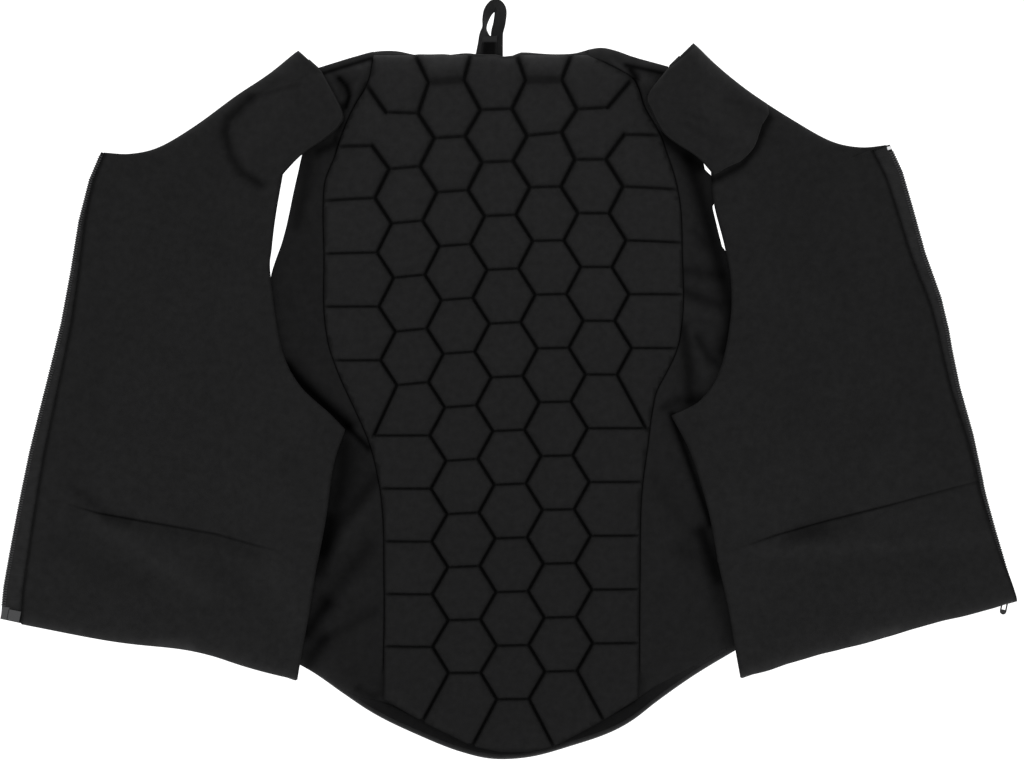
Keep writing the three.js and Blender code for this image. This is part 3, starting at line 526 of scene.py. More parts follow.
def pad_places(lines, outline):
    """Places on the pad, close together along its channels and wider apart between them."""
    low, high = outline.min(axis=0), outline.max(axis=0)
    apart = PAD_STEPS["apart"]
    wide = np.meshgrid(np.arange(low[0], high[0], apart), np.arange(low[1], high[1], apart))
    spots = [np.stack(wide, axis=-1).reshape(-1, 2)]
    for start, end, _ in lines:
        length = np.hypot(*(end - start))
        ahead = (end - start) / length
        middle = start + ahead * np.arange(0, length, PAD_STEPS["along"])[:, None]
        for off in CHANNEL_ROWS:
            side = np.array([-ahead[1], ahead[0]]) * off
            spots.extend([middle + side, middle - side])
    spots = np.concatenate(spots)
    _, first = np.unique(np.round(spots / PAD_STEPS["merged"]), axis=0, return_index=True)
    spots = spots[np.sort(first)]
    axis, half = pad_half(spots[:, 1])
    in_rim = (np.abs(spots[:, 0] - axis) < half) & (spots[:, 1] > low[1]) & (spots[:, 1] < high[1])
    spots = spots[in_rim]
    off = path_distance(spots[:, 0], spots[:, 1], [*outline, outline[0]])
    return spots[off > PAD_STEPS["rim"]]


def back_pad():
    outline = pad_outline()
    lines = channel_lines()
    spots = np.concatenate([outline, pad_places(lines, outline)])
    corners = [Vector(spot) for spot in spots]
    rim = list(range(len(outline)))
    flat, _, faces, origins, _, _ = delaunay_2d_cdt(corners, [], [rim], INSIDE, TOUCHING)
    x, y = np.array([tuple(spot) for spot in flat]).T
    # The pad's tone holds painted shade in its channels, painted light by height and on the half cells at the
    # neck, and random mottle.
    drop, tone = np.zeros(len(x)), np.ones(len(x))
    closed = [*outline, outline[0]]
    rims = [(a, b, "rim") for a, b in zip(closed[:-1], closed[1:])]
    cuts = lines + [cut for cut in rims if max(cut[0][1], cut[1][1]) < PAD_SEAM_TOP]
    widen = 1 + CHANNELS_WIDEN["by"] * ramp(y, *CHANNELS_WIDEN["over"])
    for start, end, name in cuts:
        kind = CHANNELS[name]
        away = line_distance(x, y, start, end)[0] / kind["width"] / widen
        share = np.interp(away, CHANNEL_SIDE[:, 0], CHANNEL_SIDE[:, 1])
        drop = np.maximum(drop, kind["depth"] * share)
        tone = np.minimum(tone, 1 - (1 - kind["tone"]) * share)
    off = path_distance(x, y, closed)
    depth = drop * mix(CHANNEL_END["share"], 1, smooth(off / CHANNEL_END["run"]))
    z = pad_surface(y, off) - depth + noise(x, y, *PAD_BUMPS)
    slope = np.where(y > 0, PAD_PAINTED_LIGHT["upper"], PAD_PAINTED_LIGHT["lower"])
    tone *= (1 + slope * np.clip(y / PAD_PAINTED_LIGHT["reach"], -1, 1)) * (1 + noise(x, y, *PAD_MOTTLE))
    tone *= painted_shading(PAD_HIGHLIGHTS, x, y) * rim_light(y.max() - y, NECK_LIGHT)
    y = y - neck_dip(x, y)
    outline[:, 1] -= neck_dip(*outline.T)
    place = {origin: k for k, found in enumerate(origins) for origin in found}
    foot = len(x)
    points = np.concatenate([
        np.column_stack([x, y, z]),
        np.column_stack([outline, np.full(len(outline), CLOTH + PAD_FOOT)]),
    ])
    faces = [tuple(face) for face in faces]
    for k in rim:
        ahead = (k + 1) % len(rim)
        faces.append((place[ahead], place[k], foot + k, foot + ahead))
    tone = np.concatenate([tone, np.ones(len(outline))])
    cover = mesh_object("back_pad_cover", points, faces, LINING, tone)
    dress(cover, "back_pad")
    return outline


PAD_EDGE = back_pad()


# Fronts

FRONT_CLOTH = 2.0
FRONT_THICKNESS = 1.4
NECK_ROW = 14  # the zip ends here and the neck begins
SIDE_ROW = 8  # the side ends here and the armhole begins
ARMHOLE_ROW = 15  # the armhole ends here and the shoulder begins

# Each front's sections from hem to shoulder tip, in a frame whose Y runs up the zip.
FRONT_ROWS = {
    # zip or neck x, y; side, armhole or shoulder x, y
    "left": np.array([
        (0, -8.5, 257, -5), (-3.4, 20, 256, 18), (-4.6, 55, 255, 52), (-5.5, 90, 253, 90),
        (-5.6, 97, 253, 97),
        (-5.7, 103, 253, 103), (-6, 137, 252, 137), (-5, 172, 249, 180), (-4, 200, 252.3, 211.8),
        (-3.3, 222, 236.7, 222.3), (-2.7, 250, 206, 241), (-3.9, 293, 184, 270), (-6.2, 338, 162.5, 327),
        (-4.8, 374, 158.8, 350), (0, 399, 156.3, 378), (24, 403, 155, 413), (47, 414, 167, 432),
        (73, 438, 184, 450), (101, 469.5, 194, 464), (122, 491, 193, 476), (146, 518, 169, 505),
    ], float),
    "right": np.array([
        (2, -4.3, 242.5, -4.3), (0.4, 20, 240.5, 18), (0.5, 55, 237, 52), (0.3, 90, 235, 90),
        (0, 97, 235, 97),
        (-0.6, 103, 234, 103), (-2.9, 142, 231, 142), (-2.7, 184, 232.5, 190), (-4.8, 216, 240, 226),
        (-6.6, 234, 213, 232), (-7.6, 262, 190, 252), (-4.6, 302, 170, 291), (-4.6, 342, 160.5, 324),
        (-4.2, 374, 158, 354), (0, 399, 157.3, 389), (24, 403.5, 152.5, 417), (47, 415.5, 161, 432.5),
        (73, 441, 181.5, 457), (101, 472.5, 188, 481), (122, 501, 187, 494), (138, 526, 165, 511),
    ], float),
}
FLANGE = [36, 36, 37, 38, 39, 39, 42, 47, 52, 42, 26, 17, 10, 10, 12, 18, 24, 26, 26, 24, 10]
TURN = [1.8] * 14 + [2.2, 3, 4, 4.5, 4.5, 4.5, 4.5]
PLEAT = {"margin": 9, "slope": 35}
PLACES = {
    "left": {"x": -429.7, "y": -197.6, "lean": -12.1, "mirror": 1},
    "right": {"x": 429.7, "y": -185.7, "lean": 15.4, "mirror": -1},
}

# Width of zip tape that shows beside the lining at each height.
TAPE_SHOWING = {"left": [(0, 17), (399, 2.5)], "right": [(0, -3.5), (40, 1.5), (399, 15)]}
SLIDER_LIFT = {"height": 5, "over": (16, 60)}  # the slider lifts the foot of the right tape

# The crease across each front: its height, and how deep it is along the front.
CREASE = {
    "left": {"y": [(30, 100.3), (63, 98.3), (119, 100.3), (162, 101.7), (202, 99.8), (220, 99)],
             "depth": [(28, 0), (45, 0.35), (70, 1.1), (110, 1.0), (190, 0.7), (222, 0)]},
    "right": {"y": [(-5, 102.3), (6, 102.6), (72, 103.1), (133, 104.6), (182, 104.8), (213, 102.3)],
              "depth": [(-5, 0.6), (30, 0.8), (150, 1.1), (185, 0.8), (222, 0)]},
}
FRONT_FOLDS = {
    # start, end, height, width
    "left": [
        ((58, 94), (185, 22), 1.5, 9), ((95, 92), (215, 40), 1.2, 10), ((30, 80), (120, 8), 0.9, 12),
        ((34, 124), (66, 102), -1.6, 8), ((150, 92), (235, 62), 0.9, 10),
    ],
    "right": [
        ((70, 82), (150, 84), 1.0, 8), ((35, 330), (80, 245), 1.2, 14), ((110, 95), (200, 66), 1.0, 12),
        ((60, 190), (150, 160), 0.8, 20),
    ],
}
HEM_WAVE = {"x": 165, "width": 48, "rise": 6, "fade": 45}  # of the left hem
HEM_RIPPLE = {"bumps": (0.8, 22, 31), "fade": 30}  # of the right hem
FRONT_BUMPS = {"left": [(0.5, 42, 21), (0.22, 15, 31)], "right": [(0.5, 42, 22), (0.22, 15, 32)]}
FRONT_MOTTLE = (0.035, 34, 61)
CALM = 25  # folds and bumps fade this far from a front's edges

# The crease's shape: height, width and fade of the lip over it; depth and fade of the hollow under it; depth
# and width of its line; and the painted shade along that line: how dark, how wide, and how far down.
CREASE_END = 12  # it fades this far from the side edge
CREASE_LIP = (1.3, 1.6, 60)
CREASE_HOLLOW = (0.6, 12)
CREASE_LINE = (0.5, 0.9)
CREASE_PAINTED_SHADE = (0.62, 1.15, 0.2)

# How the lining lies up on the zip's tape and on its slider.
TAPE_RAISE = {"height": 1.6, "over": (10, 12)}
SLIDER_RAISE = {"share": 1.76, "shift": 15, "over": (14, 60)}
FLANGE_GAP = 0.3  # between the back's cloth and the turned-under part
FRONT_LOWEST = 0.2  # of the middle of a front's cloth

# The hollow round a shoulder pad: how deep, where it lies, and the places along the rows where it ends.
VALLEY = {"left": -1.4, "right": -0.6, "inside": 3, "width": 6, "from": (14.6, 0.4), "to": (19.6, -0.6)}

# Where a shoulder pad begins on its front: a place along the rows and the distance from the neck.
PAD_START = {
    "left": [(14.6, 126), (14.86, 101), (15.6, 73), (16.2, 53), (16.9, 29), (17.3, 18), (17.8, 12), (18.3, 9),
             (18.8, 13), (19.3, 20), (20, 20)],
    "right": [
        (14.85, 133), (14.95, 122), (15.35, 95), (16.24, 57.5), (16.96, 28), (17.3, 10), (17.6, 0), (20, 0),
    ],
}

# Strokes of the fronts' shading, in the vest's frame.
FRONT_STROKES = {
    "left": [
        (5, 0.26, (-345, -117), (-324, -122)),
        (6, 0.14, (-340, -119), (-300, -128), (-215, -147)),
        (5, 0.2, (-371, -93), (-357, -103), (-346, -113)),
        (9, -0.17, (-350, -122), (-300, -156), (-258, -184)),
        (10, 0.1, (-385, -140), (-350, -160), (-310, -175)),
        (8, 0.12, (-245, -159), (-224, -184)),
        (9, -0.1, (-203, -159), (-179, -205)),
        (5, -0.3, (-296, -224), (-270, -228)),
        (3, 0.26, (-219, 240), (-198, 245), (-179, 249)),
        (5, 0.5, (-220, 238), (-239, 221), (-242, 210), (-235, 188), (-227, 175), (-211, 165)),
    ],
    "right": [
        (6, 0.28, (238, -136), (266, -128)),
        (8, 0.14, (250, -132), (292, -123)),
        (6, -0.14, (210, -148), (273, -147), (316, -143)),
        (5, -0.12, (316, -146), (409, -135)),
        (14, 0.05, (240, -165), (400, -158)),
        (5, -0.3, (298, -222), (330, -214)),
        (3.8, 0.7, (222, 222), (217, 213), (211, 197), (198, 181), (181, 172), (170, 167)),
    ],
}
# Painted shade and painted highlights on the shoulder pads' covers; the left cover shares the left front's.
COVER_STROKES = {
    "left": FRONT_STROKES["left"],
    "right": [
        (3, 0.14, (150, 216), (167, 205), (180, 200)),
        (2.5, 0.1, (146, 227), (168, 219)),
        (2.5, 0.08, (154, 271), (173, 245)),
        (5, -0.1, (160, 236), (172, 224)),
        (3, 0.12, (184, 238), (204, 232), (223, 226)),
    ],
}


def broken(values, t, breaks):
    """A smooth curve through a column of a front's rows, with corners at some of them."""
    out = np.empty_like(t)
    ends = [0, *breaks, len(values) - 1]
    for low, high in zip(ends[:-1], ends[1:]):
        part = (t >= low) & (t <= high)
        rows = np.arange(low, high + 1)
        out[part] = spline(rows, values[low:high + 1], t[part])
    return out


def zip_lift(side, y):
    if side == "left":
        return np.zeros_like(y)
    return SLIDER_LIFT["height"] * (1 - ramp(y, *SLIDER_LIFT["over"]))


def sections(side, t):
    """Sections of a front at places along its rows."""
    rows = FRONT_ROWS[side]
    outer = np.stack([broken(rows[:, k], t, [NECK_ROW]) for k in (0, 1)], axis=-1)
    inner = np.stack([broken(rows[:, k], t, [SIDE_ROW, ARMHOLE_ROW]) for k in (2, 3)], axis=-1)
    length = np.hypot(*(inner - outer).T)
    index = np.arange(len(rows))
    turn = np.interp(t, index, TURN)
    columns = {
        "t": t, "length": length, "turn": turn, "flange": np.interp(t, index, FLANGE),
        "start": np.where(t <= NECK_ROW, table(TAPE_SHOWING[side], outer[:, 1]), 0.0),
        "stop": length - turn - FRONT_CLOTH / 2,
    }
    cut = {name: values[:, None] for name, values in columns.items()}
    return {"outer": outer, "along": (inner - outer) / cut["length"], **cut}


def shoulder_valley(side, t, distance):
    """The hollow round a shoulder pad, where the lining dips to the cloth."""
    off = distance - table(PAD_START[side], t) + VALLEY["inside"]
    near = bell(off, VALLEY["width"]) * ramp(t, *VALLEY["from"]) * ramp(t, *VALLEY["to"])
    return VALLEY[side] * near


def hem_shift(side, x, y):
    """How a front's hem waves up and down."""
    up = y - FRONT_ROWS[side][0, 1]
    if side == "left":
        fade = 1 - smooth(up / HEM_WAVE["fade"])
        return HEM_WAVE["rise"] * fade * bell(x - HEM_WAVE["x"], HEM_WAVE["width"])
    return (1 - smooth(up / HEM_RIPPLE["fade"])) * noise(x, 0 * x, *HEM_RIPPLE["bumps"])


def spread(cut, distance):
    """Places at distances along sections."""
    return (cut["outer"][:, k:k + 1] + cut["along"][:, k:k + 1] * distance for k in (0, 1))


def front_points(side, cut, distance):
    """Points of a front's upper layer and the painted shade in its crease, at distances along sections."""
    x, y = spread(cut, distance)
    pleat_z = CLOTH + FLANGE_GAP + FRONT_CLOTH / 2 + 2 * cut["turn"]
    to_pleat = distance - cut["stop"] + cut["flange"] + PLEAT["margin"] + PLEAT["slope"]
    on_zip = cut["t"] <= NECK_ROW
    tape = TAPE_RAISE["height"] * (1 - ramp(distance - cut["start"], *TAPE_RAISE["over"]))
    slider = SLIDER_RAISE["share"] * zip_lift(side, y - SLIDER_RAISE["shift"])
    slider = slider * (1 - ramp(distance, *SLIDER_RAISE["over"]))
    flat = FRONT_CLOTH / 2 + np.maximum(np.where(on_zip, tape, 0), slider)
    z = mix(flat, np.maximum(flat, pleat_z), smooth(to_pleat / PLEAT["slope"]))
    calm = ramp(distance, cut["start"], CALM) * ramp(cut["stop"], distance, CALM)
    depth = table(CREASE[side]["depth"], x) * ramp(cut["stop"], distance, CREASE_END)
    above = y - table(CREASE[side]["y"], x)
    height, width, fade = CREASE_LIP
    lip = height * smooth(above / width + 0.5) * (1 - smooth(above / fade))
    low, fade = CREASE_HOLLOW
    line, width = CREASE_LINE
    hollow = low * np.exp(np.minimum(above, 0) / fade) * (above < 0) + line * bell(above, width)
    z = z + depth * (lip - hollow)
    # Painted shade along the crease's line.
    dark, width, down = CREASE_PAINTED_SHADE
    crease = 1 - dark * np.minimum(depth, 1) * bell(above + down, width)
    z = z + fold_heights(FRONT_FOLDS[side], x, y) * calm
    z = z + calm * sum(noise(x, y, *bumps) for bumps in FRONT_BUMPS[side])
    z = z + shoulder_valley(side, cut["t"], distance)
    return x, y + hem_shift(side, x, y), np.maximum(z, FRONT_LOWEST), crease


def to_vest(side, x, y, z):
    """From a front's own frame to the vest's."""
    place = PLACES[side]
    turn = math.radians(place["lean"])
    across = x * place["mirror"]
    return grid_points(
        place["x"] + across * math.cos(turn) - y * math.sin(turn),
        place["y"] + across * math.sin(turn) + y * math.cos(turn),
        z,
    )


HEM_STEPS, SHOULDER_STEPS = 12, 80
FRONT_SPANS = [(2.5, 93, 2.6), (93.5, 108, 0.5), (110, 398, 2.6)]  # heights from and to, and their steps


def front_row_places(side):
    """Places along the rows, close together at the hem and at the crease."""
    rows = FRONT_ROWS[side]
    hem = np.linspace(rows[0, 1], 0, HEM_STEPS)
    heights = np.concatenate([hem, *(np.arange(*span) for span in FRONT_SPANS)])
    up_zip = np.interp(heights, rows[:NECK_ROW + 1, 1], np.arange(NECK_ROW + 1))
    shoulder = np.linspace(NECK_ROW, len(rows) - 1, SHOULDER_STEPS)
    return np.unique(np.concatenate([up_zip, [SIDE_ROW, NECK_ROW], shoulder]))


TURN_STEPS = np.radians(np.linspace(75, -90, 12))
# Painted shade on a turned edge: darkest under it, nearly none on top.
TURN_SHADE = (0.4, 0.95)  # tone under a turned edge and on top of it
TUCKED_ROWS = 6  # the turned-under part's lowest rows, drawn up behind the hem
FRONT_COLUMNS, COLUMN_EASE = 110, 1.15
HEM_ROUND, ZIP_ROUND, TIP_ROUND = (2.6, 0.6), (2.2, 0.55), (3, 0.5)  # radius, share of its fall
# Painted shadow on the lining along its edge beside the zip.
ZIP_EDGE_SHADE = {"dark": 0.62, "width": 2.0}
# Painted shade: the fronts are darker on their upper part.
UPPER_SHADE = {"left": 0.97, "right": 0.94, "over": (-90, 60)}
FLOOR_GAP = 0.1  # sheets stay this far above the floor
FAR = 1e3  # out of reach of a rim's light


def front(side):
    cut = sections(side, front_row_places(side))
    share = np.linspace(0, 1, FRONT_COLUMNS) ** COLUMN_EASE
    distance = mix(cut["start"], cut["stop"], share)
    x, y, z, crease = front_points(side, cut, distance)
    hem_off = y - y[:1]
    zip_off = distance - cut["start"]
    tip_off = np.hypot(x - x[-1:], y - y[-1:])
    edge = rounded(hem_off, *HEM_ROUND) + rounded(zip_off, *ZIP_ROUND) + rounded(tip_off, *TIP_ROUND)
    z = np.maximum(z + FRONT_CLOTH / 2 - edge, FRONT_THICKNESS + FLOOR_GAP)
    on_zip = cut["t"] <= NECK_ROW
    placed = to_vest(side, x, y, z)
    shade = painted_shading(FRONT_STROKES[side], placed[..., 0], placed[..., 1]) * crease
    shade *= rim_light(np.minimum(hem_off, np.where(on_zip, FAR, zip_off)))
    shade *= 1 - ZIP_EDGE_SHADE["dark"] * on_zip * bell(zip_off, ZIP_EDGE_SHADE["width"])
    upper = mix(1, UPPER_SHADE[side], ramp(placed[..., 1], *UPPER_SHADE["over"]))
    shade *= upper * (1 + noise(x, y, *FRONT_MOTTLE))
    columns, shades = [grid_points(x, y, z)], [shade]
    middle = z[:, -1:] - FRONT_CLOTH / 2 - cut["turn"]
    radius = cut["turn"] + FRONT_CLOTH / 2
    bends = [(angle, cut["stop"]) for angle in TURN_STEPS] + [(TURN_STEPS[-1], cut["stop"] - cut["flange"])]
    for angle, centre in bends:
        spot = cut["outer"] + cut["along"] * (centre + radius * math.cos(angle))
        spot[:, 1] += hem_shift(side, spot[:, 0], spot[:, 1])
        columns.append(np.hstack([spot, middle + radius * math.sin(angle)])[:, None])
        shades.append(shade[:, -1:] * mix(*TURN_SHADE, max(math.sin(angle), 0)))
    columns[-1][:TUCKED_ROWS, 0, 1] = columns[-1][TUCKED_ROWS, 0, 1]
    grid = np.concatenate(columns, axis=1)
    placed = to_vest(side, grid[..., 0], grid[..., 1], grid[..., 2])
    flip = side == "right"
    made = grid_object(f"front_{side}_lining", placed, LINING, np.concatenate(shades, axis=1), flip)
    dress(made, f"front_{side}", FRONT_THICKNESS)


# The shoulder pads' covers: how they rise from their inner edge, and their bumps.
COVER_RISE = {"left": (-1.3, 4.2, 18), "right": (1.8, 2.0, 12)}  # height of its foot, rise, run
COVER_BUMPS = {"left": (0.4, 17, 41), "right": (0.4, 17, 42)}
COVER_CALM = {"inner": 20, "outer": 12}
COVER_LIP = 1.5  # the right cover's inner edge is folded
COVER_OUTER = {"height": -0.6, "run": 9, "round": (4, 0.8)}
COVER_SPAN = {"start": 0.02, "end": 19.95, "rows": 90, "columns": 80, "margin": 0.6}
COVER_NECK_ROW = 17.3  # from here on the cover reaches the neck's edge
COVER_THICKNESS = 1.2


def shoulder_pad(side):
    first = PAD_START[side][0][0] + COVER_SPAN["start"]
    cut = sections(side, np.linspace(first, COVER_SPAN["end"], COVER_SPAN["rows"]))
    start = table(PAD_START[side], cut["t"])
    end = np.maximum(cut["length"] - COVER_SPAN["margin"], start + 1)
    share = np.linspace(0, 1, COVER_SPAN["columns"])
    distance = mix(start, end, share)
    z = front_points(side, cut, np.minimum(distance, cut["stop"]))[2]
    x, y = spread(cut, distance)
    z = z - shoulder_valley(side, cut["t"], distance)
    steps = np.hypot(x[1:] - x[:-1], y[1:] - y[:-1])
    from_low = np.concatenate([np.zeros((1, len(share))), np.cumsum(steps, axis=0)])
    from_tip = from_low[-1:] - from_low
    off = np.minimum(distance - start, from_low)
    far = np.minimum(end - distance, from_tip)
    foot, height, run = COVER_RISE[side]
    rise = foot + height * swell(off, run)
    if side == "right":
        rise = rise - rounded(off, COVER_LIP)
    rise = mix(COVER_OUTER["height"], rise, swell(far, COVER_OUTER["run"]))
    rise = rise - rounded(far, *COVER_OUTER["round"])
    calm = smooth(off / COVER_CALM["inner"]) * smooth(far / COVER_CALM["outer"])
    z = z + FRONT_CLOTH / 2 + rise + calm * noise(x, y, *COVER_BUMPS[side])
    placed = to_vest(side, x, y, np.maximum(z, COVER_THICKNESS + FLOOR_GAP))
    shade = painted_shading(COVER_STROKES[side], placed[..., 0], placed[..., 1])
    shade *= rim_light(np.where(cut["t"] > COVER_NECK_ROW, distance, FAR))
    made = grid_object(f"shoulder_cover_{side}", placed, LINING, shade, side == "right")
    dress(made, f"shoulder_pad_{side}", COVER_THICKNESS)


for front_side in ("left", "right"):
    front(front_side)
    shoulder_pad(front_side)


# Back cloth

SHELL_ROWS = np.array([
    # y, left, right
    (-244, -212, 204), (-226, -210, 202), (-208, -208, 200), (-180, -206, 198), (-140, -201, 194),
    (-100, -197, 190), (-70, -193, 187), (-44, -190, 184), (-10, -194, 188), (25, -199, 193), (60, -203, 195),
    (88, -202, 193), (104, -197, 188.5), (112, -194, 181.9), (122, -191, 179.3), (146, -185.5, 173.5),
    (150, -184.7, 175.5), (174, -179.4, 172.5), (176.5, -178.8, 167.4), (185, -177, 165.8), (225, -167, 152),
    (252, -165, 142), (277, -165, 136),
], float)
HEM_CURVE = np.array([
    (-212, -227), (-165, -251), (-140, -268.5), (-120, -282), (-77, -303.5), (-40, -318), (-18, -323.3),
    (14, -322.8), (50, -313.8), (107, -290), (125, -276), (153, -256), (204, -225),
], float)
COLLAR_CURVE = np.array([
    (-165, 263.5), (-131, 273.8), (-111, 278.5), (-94, 278.5), (-78, 275), (-50, 275.3), (-34, 276.8),
    (-27, 275.9), (-16, 275.6), (-4, 275.9), (11.5, 277.6), (18, 277.4), (27, 276.5), (44, 275.8),
    (56.5, 276.7), (67, 279.5),
    (79, 281.3), (91, 279), (103, 274.8), (136, 265.5),
], float)

# Folds of the side cloth: start, end, height and width.
SHELL_FOLDS = [
    ((-116, -62), (-164, -190), 4.6, 10), ((-112, -100), (-150, -170), 2.2, 8),
    ((-110, -140), (-172, -205), 2.4, 9), ((-112, -185), (-165, -228), 2.0, 8),
    ((-116, -220), (-150, -246), 1.4, 7), ((-148, -80), (-160, -140), -3.0, 9),
    ((-160, 40), (-186, 96), 3.0, 9), ((-152, 0), (-178, 30), 2.0, 8),
    ((150, 112), (176, 84), 2.6, 6), ((150, 80), (180, 60), 3.0, 7), ((148, 44), (178, 34), 3.2, 7),
    ((150, 14), (172, -6), 3.0, 7), ((152, 30), (164, -20), 2.0, 6), ((120, -70), (158, -150), 2.6, 11),
    ((114, -110), (160, -196), 1.8, 10), ((118, -180), (170, -226), 1.6, 12),
]

# Painted shade and painted highlights on the side cloth, in its folds and under the fronts.
SHELL_STROKES = [
    (6.6, 0.93, (-188, 10), (-176, -4), (-157, -22), (-136.5, -40)),
    (3.2, 0.8, (-137, -41), (-119, -59)),
    (12, 0.28, (-126, -65), (-134, -96)),
    (9.0, 0.6, (-139, -57), (-142, -82), (-149, -116), (-155, -142), (-161, -163)),
    (6, 0.55, (-153, -120), (-158, -147)),
    (6.2, 0.42, (-113, -85), (-130, -108), (-147, -127), (-157, -148)),
    (5, -0.15, (-112, -102), (-128, -122), (-142, -142)),
    (8.0, 0.36, (-119, -143), (-135, -164), (-156, -190)),
    (6.5, 0.68, (-154, -191), (-165, -207), (-171, -217)),
    (5, 0.25, (-114, -198), (-139, -212), (-157, -224)),
    (6.8, 0.6, (-157, -222), (-167, -235), (-172, -246)),
    (2.5, 0.15, (-130, -245), (-140, -251)),
    (4.2, 0.4, (-128, -264), (-114, -271)),
    (7.5, 0.7, (153, 187), (163, 156), (174, 118), (183, 85), (189, 62), (189, 43), (183, 23)),
    (4.2, 0.3, (158, 125), (168, 114)),
    (5, 0.38, (151, 92), (181, 87)),
    (5.5, 0.45, (149, 74), (180, 62)),
    (4.2, -0.12, (148, 60), (176, 54)),
    (6, 0.55, (148, 43), (153, 11), (155, -17)),
    (3.4, -0.15, (153, 42), (162, 24), (168, 1)),
    (4.6, 0.48, (161, 34), (171, 17), (179, 11)),
    (5.5, 0.55, (154, -20), (163, -17)),
    (4.6, 0.4, (132, -25), (144, -19)),
    (3.4, 0.85, (139, -31), (153, -69), (167, -109), (172, -124)),
    (7.5, 0.75, (165, -131), (171, -148), (178, -171)),
    (10, 0.2, (148, -146), (172, -160)),
    (8.5, 0.38, (178, -184), (186, -206), (190, -227)),
    (6, 0.18, (125, -85), (138, -108), (156, -130)),
    (2, 0.75, (-163, 258), (-141, 265), (-117, 272), (-93, 272.5)),
    (3, -0.35, (-146, 260), (-133, 264), (-121, 268)),
    (2.4, -0.3, (-120, 268), (-129, 249), (-140, 224)),
    (2.7, 0.9, (-144, 255.5), (-138, 249), (-135, 241), (-138, 231)),
    (3.0, -0.6, (-153, 259), (-148, 248), (-143, 238)),
    (3.0, -0.3, (-132, 258), (-126, 264)),
    (1.5, 0.5, (-121.5, 251), (-130.5, 232), (-140.5, 210), (-147, 192)),
    (3, 0.5, (-141, 232), (-141, 218), (-147, 204)),
    (4.6, 0.6, (-162, 193), (-147, 200)),
    (6, 0.38, (-170, 186), (-174, 156), (-181, 130)),
    (2.2, 0.75, (100, 266.5), (135, 259)),
    (2, -0.3, (88, 270), (103, 259)),
    (4.5, -0.5, (115, 254), (125, 250)),
    (3.4, 0.8, (104, 262), (109, 255)),
    (1.7, 0.7, (107, 255), (111, 246), (114.5, 232), (118, 224)),
    (6.5, 0.72, (131, 206), (147, 193), (163, 181)),
]


def front_edge(side):
    """A front's side and armhole edge in the vest's frame."""
    rows = FRONT_ROWS[side][:ARMHOLE_ROW + 1]
    return to_vest(side, rows[:, 2], rows[:, 3], 0.0)[:, :2]


EDGES = {side: front_edge(side) for side in ("left", "right")}

# Columns of the back's cloth near the pad's rim: distance outside it.
RIM_COLUMNS = np.array([-9, -5, -2.5, -1.4, -0.8, -0.4, 0, 0.4, 0.8, 1.3, 1.9, 2.8, 4])
WING_COLUMNS, UNDER_COLUMNS = 50, 46
SHELL_LOW, SHELL_TOP = SHELL_ROWS[0, 0], SHELL_ROWS[-1, 0]
SHELL_SPANS = [(-244, -236, 14), (-234, 262, 190), (263, 277, 16)]  # heights from and to, number of rows
BENT = {"hem": -100, "collar": 225, "ease": 1.5}  # where rows begin to follow the hem and the collar

# The seam round the pad: how far the cloth slopes up to it, and its stitches.
SHELL_LOW_END = (-240, -14)
SEAM_RUN = {"outside": 30, "inside": 3, "gap": 0.1}
STITCH = {"width": 0.9, "depth": 1.4, "dark": 0.65}
FOLDED = {"rim": (1, 14), "front": (2, 16), "hem": (4, 14)}  # the folds stay this far from each
WRINKLES = [(0.5, 18, 51), (0.3, 9, 52)]
BEAD = {"height": 1.5, "place": 2.2, "width": 1.7, "round": (2.2, 0.7)}  # along the hem
# Painted light on the back's cloth: lighter on its wrinkles' crests and darker in their hollows, light along
# the hem, and painted shade over the left side.
SHELL_PAINTED_LIGHT = {"wrinkles": 0.1, "hem": 1.5, "left": 0.9}
SHELL_THICKNESS = 1.8


def shell_places():
    """The back's cloth as a grid: rows from hem to collar, columns across both wings."""
    rows = np.concatenate([np.linspace(*span) for span in SHELL_SPANS])
    left = curve(SHELL_ROWS, rows)[:, None]
    right = np.interp(rows, SHELL_ROWS[:, 0], SHELL_ROWS[:, 2])[:, None]
    axis, half = (values[:, None] for values in pad_half(rows))
    wing = np.linspace(0, 1, WING_COLUMNS)[1:]
    under = np.linspace(0, 1, UNDER_COLUMNS)[1:-1]
    inner, outer = RIM_COLUMNS[0], RIM_COLUMNS[-1]
    x = np.concatenate([
        mix(axis - half - outer, left, wing)[:, ::-1],
        (axis - half - RIM_COLUMNS)[:, ::-1],
        mix(axis - half - inner, axis + half + inner, under),
        axis + half + RIM_COLUMNS,
        mix(axis + half + outer, right, wing),
    ], axis=1)
    to_hem = (BENT["hem"] - rows) / (BENT["hem"] - SHELL_LOW)
    to_collar = (rows - BENT["collar"]) / (SHELL_TOP - BENT["collar"])
    to_hem, to_collar = (np.clip(part, 0, None)[:, None] ** BENT["ease"] for part in (to_hem, to_collar))
    y = rows[:, None] + (curve(HEM_CURVE, x) - SHELL_LOW) * to_hem
    y = y + (curve(COLLAR_CURVE, x) - SHELL_TOP) * to_collar
    return x, y - neck_dip(x, y)


